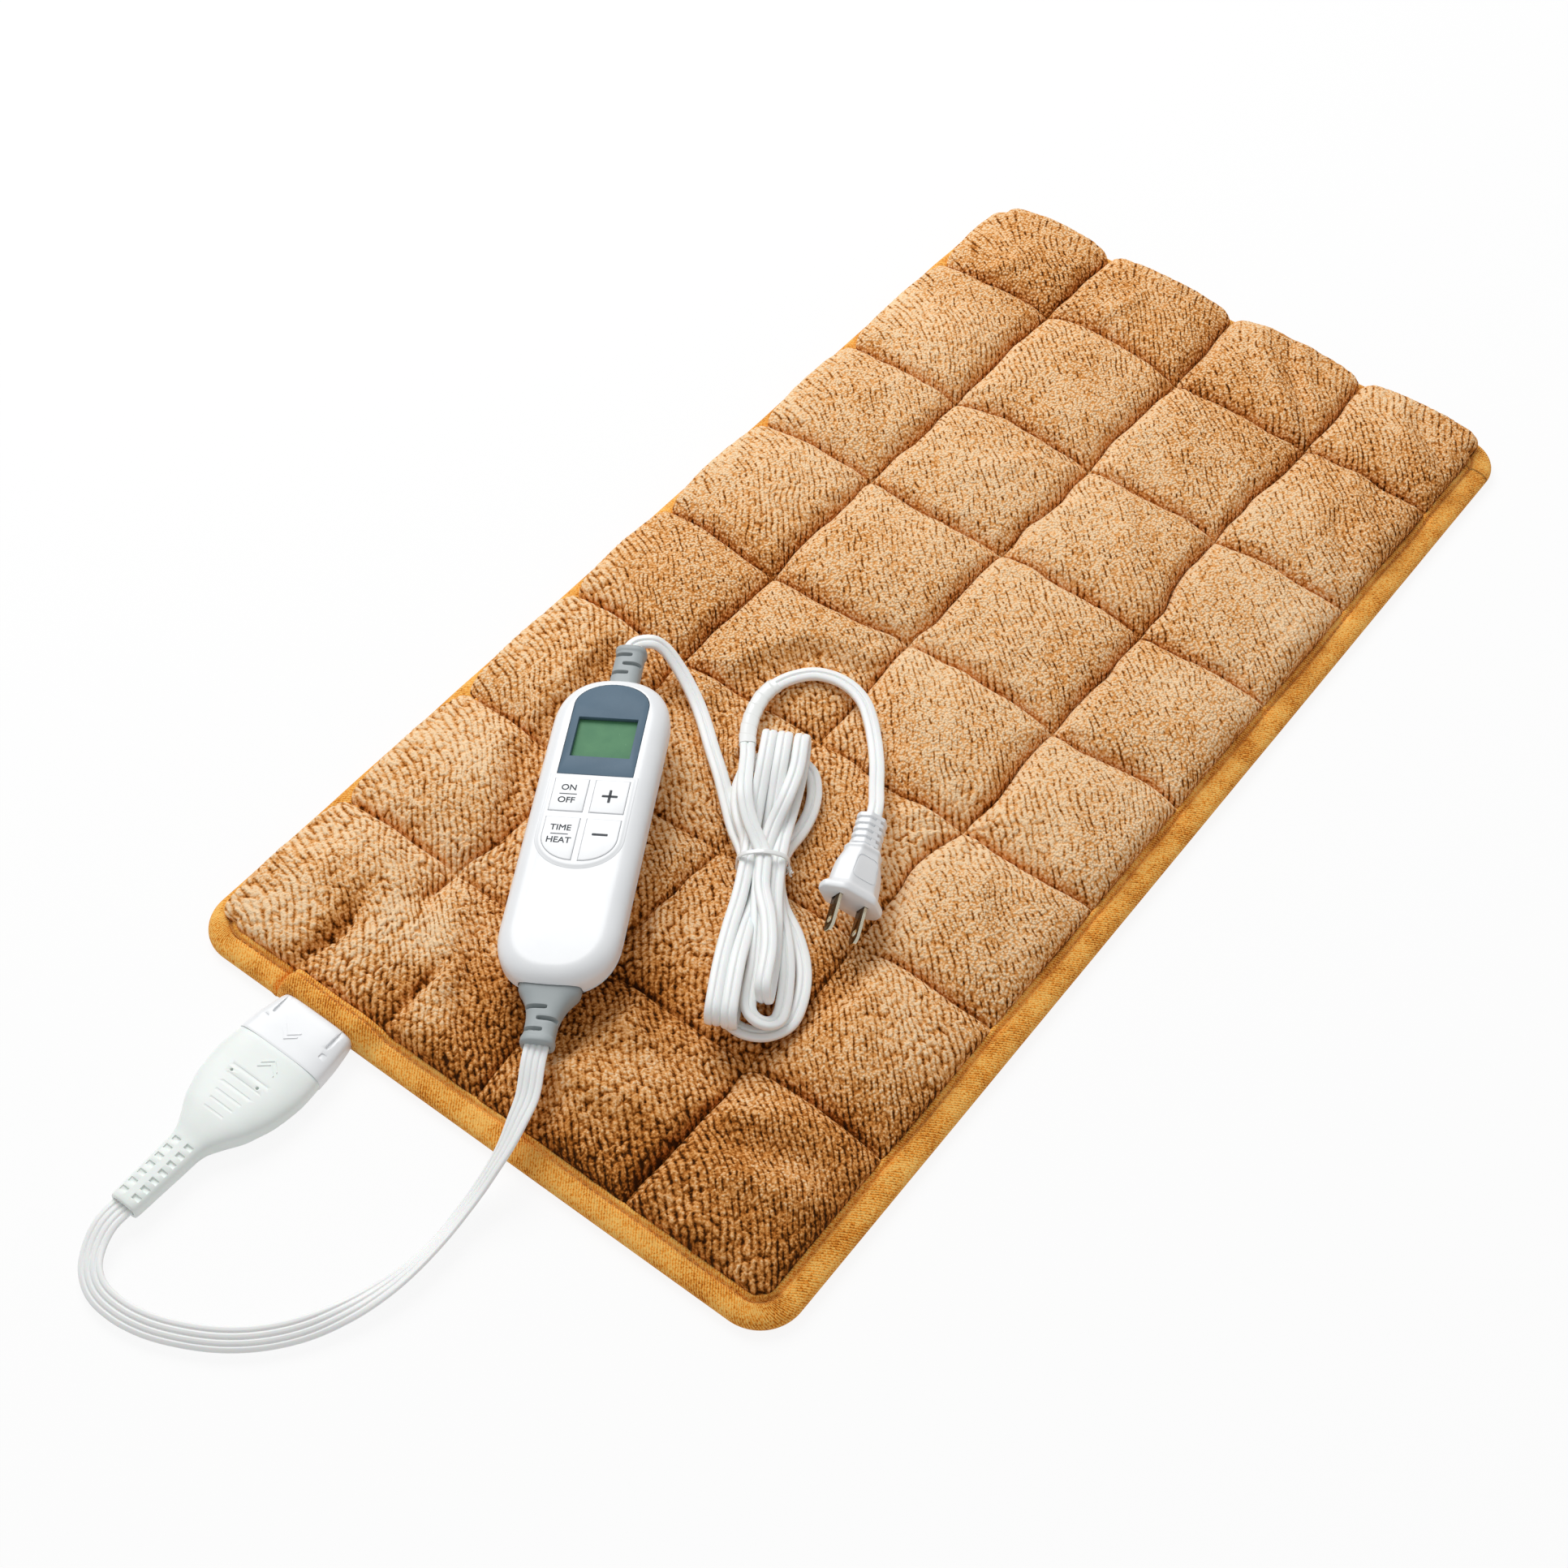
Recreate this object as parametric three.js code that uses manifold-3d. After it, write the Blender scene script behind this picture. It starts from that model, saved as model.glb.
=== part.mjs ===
// Heating pad with a hand controller, a detachable connector and a mains lead tied in a hank.
// Millimetres, +Z up. Origin: middle of the pad's underside. +Y runs along the pad to its far end.
import * as THREE from "three";
import { mergeVertices } from "three/addons/utils/BufferGeometryUtils.js";
import Module from "manifold-3d";

const wasm = await Module();
wasm.setup();

// Shared clearances
const FIT = 0.3;
const SLIP = 0.25;

// Pad
const PAD_WIDTH = 305;
const PAD_LENGTH = 610;
const PAD_CORNER = 20;
const BINDING_WIDTH = 12.5;
const BINDING_CLOTH = 1.2;
const BACK_CLOTH = 1.2;
const PLUSH_CLOTH = 2.4;
const CARRIER_FELT = 0.8;
const WIRE_DIAMETER = 1.8;
const BATTING_AT_SEAM = 0.6;
const CROWN_RISE = 5;
const BATTING_RISE = 4;
const FIRST_COLUMN = 60;
const FIRST_ROW = 77;
const QUILT_PITCH = 76;
const LEAST_CELL = 30;
const SHOULDER_ACROSS = 10;
const SHOULDER_ALONG = 16;
const WIRE_RUNS = 8;
const WIRE_MARGIN = 22;
const CUT_OUT_LENGTH = 14;
const CUT_OUT_WIDTH = 5;

// Connector between pad and heater cord
const CONNECTOR_FROM_EDGE = 74.5;
const CONNECTOR_HEIGHT = 12;
const CONNECTOR_LIFT = 0.5;
const SOCKET_REACH = 22;
const SOCKET_WIDTH = 43;
const SOCKET_NECK_WIDTH = 39;
const SOCKET_REAR = 2;
const SOCKET_FLOOR = 7;
const ARM_WIDTH = 4.2;
const ARM_GAP = 1.8;
const ARM_LENGTH = 9.5;
const TAIL_WIDTH = 26;
const TAIL_LENGTH = 10;
const NOSE_WIDTH = 33;
const NOSE_HEIGHT = 7.4;
const PIN_COUNT = 4;
const PIN_PITCH = 7;
const PIN_DIAMETER = 1.5;
const PIN_LENGTH = 15;
const SLEEVE_WALL = 0.6;
const SLEEVE_LENGTH = 8;
const BELL_LENGTH = 51;
const BELL_WIDTH = 44.6;
const RELIEF_LENGTH = 34;
const RELIEF_ROOT_WIDTH = 15.5;
const RELIEF_TIP_WIDTH = 13.4;
const RELIEF_HEIGHT = 8.6;
const POCKET_ROWS = 7;
const POCKET_PITCH = 4.6;
const POCKET_WIDTH = 3.6;
const POCKET_LENGTH = 2.2;
const POCKET_DEPTH = 1.1;

// Controller
const CONTROLLER_LENGTH = 162;
const CONTROLLER_WIDTH = 51;
const CONTROLLER_HEIGHT = 22;
const CONTROLLER_X = -43.2;
const CONTROLLER_Y = -175.4;
const CONTROLLER_TURN = 28.77;
const CONTROLLER_ROLL = 7;
const END_LENGTH = 27;
const END_POWER = 2.4;
const WALL = 2;
const PARTING_GAP = 0.3;
const TOP_ROUND = 8;
const KEEL = 9.2;
const PLATE_RISE = 0.5;
const BEZEL_WIDTH = 32.8;
const BEZEL_LENGTH = 50.8;
const BEZEL_FROM_END = 6.2;
const BEZEL_ARCH = 12;
const BEZEL_THICK = 1.2;
const WINDOW_WIDTH = 26.2;
const WINDOW_LENGTH = 21.8;
const WINDOW_BELOW_ARCH = 19;
const LCD_BORDER = 1.6;
const KEY_INNER = 1.4;
const KEY_OUTER = 16.2;
const KEYS_BELOW_BEZEL = 3.2;
const KEY_UPPER_LENGTH = 17.5;
const KEY_ROW_GAP = 3.3;
const KEY_LOWER_LENGTH = 22;
const KEY_CURVE = 12;
const KEY_PROUD = 0.4;
const KEY_FLANGE = 0.7;
const KEY_FLANGE_THICK = 0.7;
const KEY_TRAVEL = 0.8;
const PLATE_MARGIN = 1.2;
const BOARD_WIDTH = 39;
const BOARD_FROM_END = 27;
const BOARD_THICK = 1.6;
const BOARD_HEIGHT = 0.5;
const SCREW_X = 9;
const SCREW_FROM_END = 17;
const SCREW_DIAMETER = 3;
const SCREW_LENGTH = 15;
const SCREW_HEAD = 5.6;
const SCREW_HEAD_HEIGHT = 2;
const BOSS_DIAMETER = 7.4;

// Grey strain reliefs of the controller
const GLAND_REACH_TOP = 23;
const GLAND_REACH_BOTTOM = 25;
const GLAND_SETBACK = 4.4;
const GLAND_WIDTH = 13;
const GLAND_HEIGHT = 9.6;
const GLAND_FLARE_WIDTH = 25.6;
const GLAND_FLARE_HEIGHT = 12;
const GLAND_FLANGE = 1.6;
const GLAND_FLANGE_THICK = 2.4;
const GLAND_SLOTS = 3;
const GLAND_SLOT_PITCH = 5.4;
const GLAND_SLOT_WIDTH = 1.8;
const GLAND_SLOT_DEPTH = 2;

// Cords: the heater cord has four ribs, the mains cord is a twin
const HEATER_WIDTH = 10;
const HEATER_THICK = 2.6;
const MAINS_WIDTH = 6;
const MAINS_THICK = 2.9;
const FILM_THICK = 0.4;
const STEEP_RUN = 0.3;
const LEVEL_DRAW = 0.5;

// Hank of mains cord
const HANK_X = 20.8;
const HANK_Y = -137.2;
const HANK_TURN = 29.4;
const HANK_GAP = 0.5;
const TIE_WIDTH = 2.6;
const TIE_THICK = 0.9;
const TIE_BEND = 1.6;
const TIE_TAIL = 5;

// Mains plug with two flat blades
const PLUG_X = 63.7;
const PLUG_Y = -133.9;
const PLUG_TURN = 23.2;
const PLUG_PITCH = 3;
const PLUG_ROLL = 31;
const PLUG_BODY = 26.5;
const PLUG_RELIEF = 17;
const FLANGE_WIDTH = 30;
const FLANGE_HEIGHT = 16;
const FLANGE_THICK = 4;
const PLUG_WIDTH = 23.5;
const PLUG_HEIGHT = 14.4;
const PLUG_RELIEF_WIDTH = 14;
const PLUG_RELIEF_HEIGHT = 10.6;
const PLUG_GROOVES = 5;
const PLUG_GROOVE_DEPTH = 0.9;
const BLADE_PITCH = 12.7;
const BLADE_WIDTH = 6.35;
const BLADE_THICK = 1.5;
const BLADE_REACH = 17.5;
const BLADE_ROOT = 7;
const BLADE_HOLE = 3.2;
const BLADE_HOLE_FROM_TIP = 5.6;

// Heights of the pad's layers, stacked from the underside
const carrierBottom = BACK_CLOTH + FIT;
const wireBottom = carrierBottom + CARRIER_FELT + FIT;
const wireMiddle = wireBottom + WIRE_DIAMETER / 2;
const battingBottom = wireBottom + WIRE_DIAMETER + FIT;
const battingSeamTop = battingBottom + BATTING_AT_SEAM;
const seamTop = battingSeamTop + FIT + PLUSH_CLOTH;
const crownTop = seamTop + CROWN_RISE;
const backRim = BINDING_CLOTH + FIT;
const plushRim = backRim + BACK_CLOTH + FIT;
const bindingHeight = plushRim + PLUSH_CLOTH + FIT + BINDING_CLOTH;
const leadRest = crownTop + FIT;

const halfWidth = PAD_WIDTH / 2;
const halfLength = PAD_LENGTH / 2;
const connectorX = CONNECTOR_FROM_EDGE - halfWidth;
const bindingBend = 2 * BINDING_CLOTH;
const bindingInside = bindingBend + BINDING_CLOTH / 2;
const rimInset = bindingInside + FIT;
const quiltHalfWidth = halfWidth - BINDING_WIDTH - FIT;
const quiltHalfLength = halfLength - BINDING_WIDTH - FIT;

const UP = new THREE.Vector3(0, 0, 1);
const model = new THREE.Group();
const radians = THREE.MathUtils.degToRad;
const smooth = THREE.MathUtils.smoothstep;

const finishes = {
  plush: { color: 0xb98350, roughness: 0.95 },
  binding: { color: 0xd99a4e, roughness: 0.9 },
  backing: { color: 0xb88a55, roughness: 0.9 },
  batting: { color: 0xf1eee6, roughness: 1 },
  felt: { color: 0xd9d6cc, roughness: 1 },
  wire: { color: 0xc8452e, roughness: 0.5 },
  shell: { color: 0xf4f5f6, roughness: 0.35 },
  cream: { color: 0xeef0e9, roughness: 0.4 },
  grey: { color: 0x8d979b, roughness: 0.55 },
  slate: { color: 0x4d5f73, roughness: 0.25 },
  display: { color: 0x5d9a68, roughness: 0.2 },
  cord: { color: 0xf2f4f2, roughness: 0.4 },
  film: { color: 0xf7f7f4, roughness: 0.25 },
  board: { color: 0x2f6b3f, roughness: 0.5 },
  dark: { color: 0x2a2b2d, roughness: 0.5 },
  glass: { color: 0xdfe7ea, roughness: 0.1 },
  brass: { color: 0xb8924e, roughness: 0.3, metalness: 1 },
  steel: { color: 0xb9bcbf, roughness: 0.35, metalness: 1 },
};

function addPiece(parent, name, geometry, finish) {
  const mesh = new THREE.Mesh(geometry, new THREE.MeshStandardMaterial(finishes[finish]));
  mesh.name = name;
  parent.add(mesh);
  return mesh;
}

// Booleans

function toSolid(geometry) {
  const bare = geometry.clone();
  bare.deleteAttribute("normal");
  bare.deleteAttribute("uv");
  const merged = mergeVertices(bare, 1e-4);
  const vertProperties = new Float32Array(merged.attributes.position.array);
  const triVerts = new Uint32Array(merged.index.array);
  return new wasm.Manifold(new wasm.Mesh({ numProp: 3, vertProperties, triVerts }));
}

function toGeometry(solid) {
  const mesh = solid.getMesh();
  const geometry = new THREE.BufferGeometry();
  geometry.setAttribute("position", new THREE.BufferAttribute(mesh.vertProperties, 3));
  geometry.setIndex(new THREE.BufferAttribute(mesh.triVerts, 1));
  return geometry;
}

function cut(geometry, tools) {
  return toGeometry(tools.reduce((solid, tool) => solid.subtract(toSolid(tool)), toSolid(geometry)));
}

function join(geometry, others) {
  return toGeometry(others.reduce((solid, other) => solid.add(toSolid(other)), toSolid(geometry)));
}

// Shapes

function block(low, high) {
  const size = new THREE.Vector3().subVectors(high, low);
  const geometry = new THREE.BoxGeometry(size.x, size.y, size.z);
  return geometry.translate((low.x + high.x) / 2, (low.y + high.y) / 2, (low.z + high.z) / 2);
}

function blockAt(x0, x1, y0, y1, z0, z1) {
  return block(new THREE.Vector3(x0, y0, z0), new THREE.Vector3(x1, y1, z1));
}

function post(x, y, z0, z1, radius, sides = 12) {
  const geometry = new THREE.CylinderGeometry(radius, radius, z1 - z0, sides);
  return geometry.rotateX(Math.PI / 2).translate(x, y, (z0 + z1) / 2);
}

function rod(x, z, y0, y1, radius, sides = 12) {
  const geometry = new THREE.CylinderGeometry(radius, radius, y1 - y0, sides);
  return geometry.translate(x, (y0 + y1) / 2, z);
}

function plate(shape, z0, z1, curveSegments = 8) {
  const options = { depth: z1 - z0, bevelEnabled: false, curveSegments };
  return new THREE.ExtrudeGeometry(shape, options).translate(0, 0, z0);
}

function roundedRectangle(width, length, radius) {
  const [x, y] = [width / 2, length / 2];
  const shape = new THREE.Shape();
  shape.moveTo(radius - x, -y);
  shape.absarc(x - radius, radius - y, radius, -Math.PI / 2, 0);
  shape.absarc(x - radius, y - radius, radius, 0, Math.PI / 2);
  shape.absarc(radius - x, y - radius, radius, Math.PI / 2, Math.PI);
  shape.absarc(radius - x, radius - y, radius, Math.PI, 1.5 * Math.PI);
  return shape;
}

// Closed skin over rings of equal count; the flat outline gives the faces of both end caps.
function loft(rings, outline) {
  const count = outline.length;
  const positions = rings.flat().flatMap((point) => [point.x, point.y, point.z]);
  const index = [];
  for (let ring = 0; ring + 1 < rings.length; ring++) {
    for (let i = 0; i < count; i++) {
      const a = ring * count + i;
      const b = ring * count + ((i + 1) % count);
      index.push(a, b, b + count, a, b + count, a + count);
    }
  }
  const last = (rings.length - 1) * count;
  for (const [a, b, c] of THREE.ShapeUtils.triangulateShape(outline, [])) {
    index.push(c, b, a, last + a, last + b, last + c);
  }
  const geometry = new THREE.BufferGeometry();
  geometry.setAttribute("position", new THREE.Float32BufferAttribute(positions, 3));
  geometry.setIndex(index);
  return geometry;
}

// Side of a flat cord: carried square to the run, and drawn level where the run is flat.
function carriedSide(before, run) {
  const level = new THREE.Vector3().crossVectors(UP, run);
  const flatness = level.length();
  level.normalize();
  if (before === null) return level;
  const side = before.clone().projectOnPlane(run).normalize();
  if (flatness < STEEP_RUN) return side;
  if (level.dot(side) < 0) level.negate();
  return side.lerp(level, LEVEL_DRAW * flatness).normalize();
}

// Section carried along a route by its side, then rolled about the run.
function sweep(points, section, rollAt = () => 0) {
  const last = points.length - 1;
  let carried = null;
  const rings = points.map((point, i) => {
    const ahead = points[Math.min(i + 1, last)];
    const behind = points[Math.max(i - 1, 0)];
    const run = new THREE.Vector3().subVectors(ahead, behind).normalize();
    carried = carriedSide(carried, run);
    const side = carried.clone().applyAxisAngle(run, rollAt(i / last));
    const lift = new THREE.Vector3().crossVectors(run, side);
    return section.map((p) => point.clone().addScaledVector(side, p.x).addScaledVector(lift, p.y));
  });
  return loft(rings, section);
}

function smoothRoute(points, steps) {
  return new THREE.CatmullRomCurve3(points).getSpacedPoints(steps);
}

function vectors(rows) {
  return rows.map(([x, y, z]) => new THREE.Vector3(x, y, z));
}

function superellipse(halfX, halfY, power, count) {
  return Array.from({ length: count }, (_, i) => {
    const angle = ((i + 0.5) / count) * 2 * Math.PI;
    const [c, s] = [Math.cos(angle), Math.sin(angle)];
    const x = halfX * Math.sign(c) * Math.abs(c) ** (2 / power);
    const y = halfY * Math.sign(s) * Math.abs(s) ** (2 / power);
    return new THREE.Vector2(x, y);
  });
}

// Body drawn along -Y: each station gives y, half width and half height of a rounded section.
function drawnBody(stations, power, count, middle = new THREE.Vector3()) {
  const rings = stations.map(([y, halfX, halfZ]) =>
    superellipse(halfX, halfZ, power, count).map(
      (p) => new THREE.Vector3(middle.x + p.x, middle.y + y, middle.z + p.y),
    ),
  );
  return loft(rings, superellipse(1, 1, power, count));
}

// Pad

function seamLines(half, first) {
  const lines = [-half];
  for (let line = first - half; line < half - LEAST_CELL; line += QUILT_PITCH) lines.push(line);
  return [...lines, half];
}

const columnLines = seamLines(quiltHalfWidth, FIRST_COLUMN);
const rowLines = seamLines(quiltHalfLength, FIRST_ROW);

function spans(lines, parts) {
  return lines.flatMap((line, i) => {
    const next = lines[i + 1];
    return next === undefined ? [line] : [line, ...parts(line, next)];
  });
}

// Square grid drawn onto the rounded rectangle, so its edge follows the corner arcs.
function roundedPoint(x, y, half, long, corner) {
  const u = Math.abs(x) - (half - corner);
  const v = Math.abs(y) - (long - corner);
  if (u <= 0 || v <= 0) return [x, y];
  const pull = Math.max(u, v) / Math.hypot(u, v);
  return [Math.sign(x) * (half - corner + u * pull), Math.sign(y) * (long - corner + v * pull)];
}

function layeredSheet(xs, ys, top, bottom, corner) {
  const half = xs[xs.length - 1];
  const long = ys[ys.length - 1];
  const [nx, ny] = [xs.length, ys.length];
  const positions = [];
  for (const height of [top, bottom]) {
    for (const y of ys) {
      for (const x of xs) positions.push(...roundedPoint(x, y, half, long, corner), height(x, y));
    }
  }
  const index = [];
  const under = nx * ny;
  const quad = (a, b, c, d) => index.push(a, b, c, a, c, d);
  for (let j = 0; j + 1 < ny; j++) {
    for (let i = 0; i + 1 < nx; i++) {
      const a = j * nx + i;
      quad(a, a + 1, a + nx + 1, a + nx);
      quad(under + a, under + a + nx, under + a + nx + 1, under + a + 1);
    }
  }
  for (let i = 0; i + 1 < nx; i++) {
    const far = (ny - 1) * nx + i;
    quad(under + i, under + i + 1, i + 1, i);
    quad(under + far + 1, under + far, far, far + 1);
  }
  for (let j = 0; j + 1 < ny; j++) {
    const left = j * nx;
    const right = left + nx - 1;
    quad(under + left + nx, under + left, left, left + nx);
    quad(under + right, under + right + nx, right + nx, right);
  }
  const geometry = new THREE.BufferGeometry();
  geometry.setAttribute("position", new THREE.Float32BufferAttribute(positions, 3));
  geometry.setIndex(index);
  return geometry;
}

// Share of the full crown at one place between two seams, 0 on the seams and 1 half-way.
function crownShare(value, lines) {
  const next = lines.findIndex((line) => line > value);
  if (next <= 0) return 0;
  const place = (value - lines[next - 1]) / (lines[next] - lines[next - 1]);
  return 1 - Math.abs(2 * place - 1) ** 3;
}

function plushTop(x, y) {
  const underBinding = Math.abs(x) >= quiltHalfWidth || Math.abs(y) >= quiltHalfLength;
  if (underBinding) return plushRim + PLUSH_CLOTH;
  return seamTop + CROWN_RISE * crownShare(x, columnLines) * crownShare(y, rowLines);
}

const socketMiddle = CONNECTOR_LIFT + CONNECTOR_HEIGHT / 2;
const tailTop = plushRim + PLUSH_CLOTH;
const tailBottom = backRim + FIT;
const tailEnd = TAIL_LENGTH - halfLength;
const tailSlit = blockAt(
  connectorX - TAIL_WIDTH / 2 - FIT, connectorX + TAIL_WIDTH / 2 + FIT,
  -halfLength - PAD_CORNER, tailEnd + FIT, backRim - FIT, tailTop + FIT,
);

const leadChannel = blockAt(
  connectorX - TAIL_WIDTH / 2 - FIT, connectorX + TAIL_WIDTH / 2 + FIT,
  tailEnd, SHOULDER_ALONG - quiltHalfLength, wireBottom - FIT, battingBottom,
);

function makePad() {
  const edgeX = halfWidth - rimInset;
  const edgeY = halfLength - rimInset;
  const innerCorner = PAD_CORNER - rimInset;
  const shoulders = (reach) => (a, b) => [a + reach, (a + b) / 2, b - reach];
  const xs = [-edgeX, ...spans(columnLines, shoulders(SHOULDER_ACROSS)), edgeX];
  const flatShoulders = (a, b) => [a + SHOULDER_ALONG, b - SHOULDER_ALONG];
  const ys = [-edgeY, ...spans(rowLines, flatShoulders), edgeY];
  const plushBottom = (x, y) => plushTop(x, y) - PLUSH_CLOTH;
  const plush = layeredSheet(xs, ys, plushTop, plushBottom, innerCorner);
  addPiece(model, "plush_top_panel", cut(plush, [tailSlit, leadChannel]), "plush");

  const fillX = quiltHalfWidth - SHOULDER_ACROSS;
  const fillY = quiltHalfLength - SHOULDER_ALONG;
  const clipped = (lines, limit) => [-limit, ...lines.filter((line) => Math.abs(line) < limit), limit];
  const middles = (a, b) => [(a + b) / 2];
  const fillColumns = spans(clipped(columnLines, fillX), middles);
  const fillRows = spans(clipped(rowLines, fillY), middles);
  const isMiddle = (value, list) => list.indexOf(value) % 2 === 1;
  const battingTop = (x, y) =>
    battingSeamTop + (isMiddle(x, fillColumns) && isMiddle(y, fillRows) ? BATTING_RISE : 0);
  const batting = layeredSheet(fillColumns, fillRows, battingTop, () => battingBottom, BINDING_WIDTH);
  addPiece(model, "batting", batting, "batting");

  const carrier = roundedRectangle(2 * fillX, 2 * fillY, BINDING_WIDTH);
  addPiece(model, "element_carrier", plate(carrier, carrierBottom, carrierBottom + CARRIER_FELT, 4), "felt");

  const floorX = quiltHalfWidth - BINDING_CLOTH - BACK_CLOTH;
  const floorY = quiltHalfLength - BINDING_CLOTH - BACK_CLOTH;
  const backXs = [-edgeX, -quiltHalfWidth, -floorX, floorX, quiltHalfWidth, edgeX];
  const backYs = [-edgeY, -quiltHalfLength, -floorY, floorY, quiltHalfLength, edgeY];
  const backBottom = (x, y) => (Math.abs(x) > floorX || Math.abs(y) > floorY ? backRim : 0);
  const backTop = (x, y) => backBottom(x, y) + BACK_CLOTH;
  const back = layeredSheet(backXs, backYs, backTop, backBottom, innerCorner);
  addPiece(model, "back_panel", cut(back, [tailSlit, leadChannel]), "backing");

  addPiece(model, "edge_binding", cut(makeBinding(), [tailSlit]), "binding");
  makeHeatingElement(fillX, fillY);
}

// Folded cloth tape round the edge: a U section carried round the rounded rectangle.
function makeBinding() {
  const soft = BINDING_CLOTH;
  const bend = bindingBend;
  const inner = bindingInside;
  const section = [
    [BINDING_WIDTH, 0], [bend, 0], [0, bend], [0, bindingHeight - bend], [bend, bindingHeight],
    [BINDING_WIDTH, bindingHeight], [BINDING_WIDTH, bindingHeight - soft], [inner, bindingHeight - soft],
    [soft, bindingHeight - inner], [soft, inner], [inner, soft], [BINDING_WIDTH, soft],
  ];
  const steps = 5;
  const rings = [];
  for (const [sx, sy, start] of [[1, -1, -0.5], [1, 1, 0], [-1, 1, 0.5], [-1, -1, 1]]) {
    for (let i = 0; i <= steps; i++) {
      const angle = (start + (0.5 * i) / steps) * Math.PI;
      const [c, s] = [Math.cos(angle), Math.sin(angle)];
      const cx = sx * (halfWidth - PAD_CORNER);
      const cy = sy * (halfLength - PAD_CORNER);
      rings.push(section.map(([inset, z]) =>
        new THREE.Vector3(cx + (PAD_CORNER - inset) * c, cy + (PAD_CORNER - inset) * s, z)));
    }
  }
  const count = section.length;
  const positions = rings.flat().flatMap((point) => [point.x, point.y, point.z]);
  const index = [];
  for (let ring = 0; ring < rings.length; ring++) {
    const following = (ring + 1) % rings.length;
    for (let i = 0; i < count; i++) {
      const a = ring * count + i;
      const b = ring * count + ((i + 1) % count);
      const c = following * count + ((i + 1) % count);
      const d = following * count + i;
      index.push(a, c, b, a, d, c);
    }
  }
  const geometry = new THREE.BufferGeometry();
  geometry.setAttribute("position", new THREE.Float32BufferAttribute(positions, 3));
  geometry.setIndex(index);
  return geometry;
}

// Insulated wire laid to and fro on the carrier, with both ends brought to the socket's tail.
function makeHeatingElement(fillX, fillY) {
  const left = WIRE_MARGIN - fillX;
  const pitch = (-2 * left) / (WIRE_RUNS - 1);
  const bend = pitch / 2;
  const far = fillY - WIRE_MARGIN - bend;
  const near = WIRE_MARGIN + bend - fillY;
  const returnLine = near - bend - WIRE_MARGIN / 2;
  const entry = tailEnd + FIT;
  const lead = TAIL_WIDTH / 4;
  const route = [[connectorX - lead, entry], [connectorX - lead, returnLine], [left, near - bend / 2]];
  for (let run = 0; run < WIRE_RUNS; run++) {
    const x = left + run * pitch;
    const goesUp = run % 2 === 0;
    route.push([x, goesUp ? near : far], [x, goesUp ? far : near]);
    if (run + 1 === WIRE_RUNS) continue;
    for (let i = 1; i < 5; i++) {
      const angle = (i / 5) * Math.PI;
      const y = goesUp ? far + bend * Math.sin(angle) : near - bend * Math.sin(angle);
      route.push([x + bend - bend * Math.cos(angle), y]);
    }
  }
  const back = connectorX + lead;
  route.push([-left - bend / 2, returnLine], [back + bend, returnLine], [back, returnLine - bend / 3]);
  route.push([back, entry]);
  const points = route.map(([x, y]) => new THREE.Vector3(x, y, wireMiddle));
  const section = superellipse(WIRE_DIAMETER / 2, WIRE_DIAMETER / 2, 2, 6);
  addPiece(model, "heating_wire", sweep(points, section), "wire");

  const beside = WIRE_DIAMETER / 2 + FIT;
  for (const [name, run, y] of [["near", 2, near / 2], ["far", WIRE_RUNS - 3, far / 2]]) {
    const x = left + run * pitch + beside;
    const cutOut = roundedRectangle(CUT_OUT_WIDTH, CUT_OUT_LENGTH, CUT_OUT_WIDTH / 2.5);
    const geometry = plate(cutOut, wireBottom, wireBottom + WIRE_DIAMETER, 3);
    geometry.translate(x + CUT_OUT_WIDTH / 2, y, 0);
    addPiece(model, `thermal_cut_out_${name}`, geometry, "dark");
  }
}

// Connector

const socketFace = -halfLength - SOCKET_REACH;
const pinXs = Array.from({ length: PIN_COUNT }, (_, i) => connectorX + (i - (PIN_COUNT - 1) / 2) * PIN_PITCH);
const noseDepth = SOCKET_REACH - SOCKET_REAR - SOCKET_FLOOR;
const pinRear = -halfLength - SOCKET_REAR;

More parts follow.
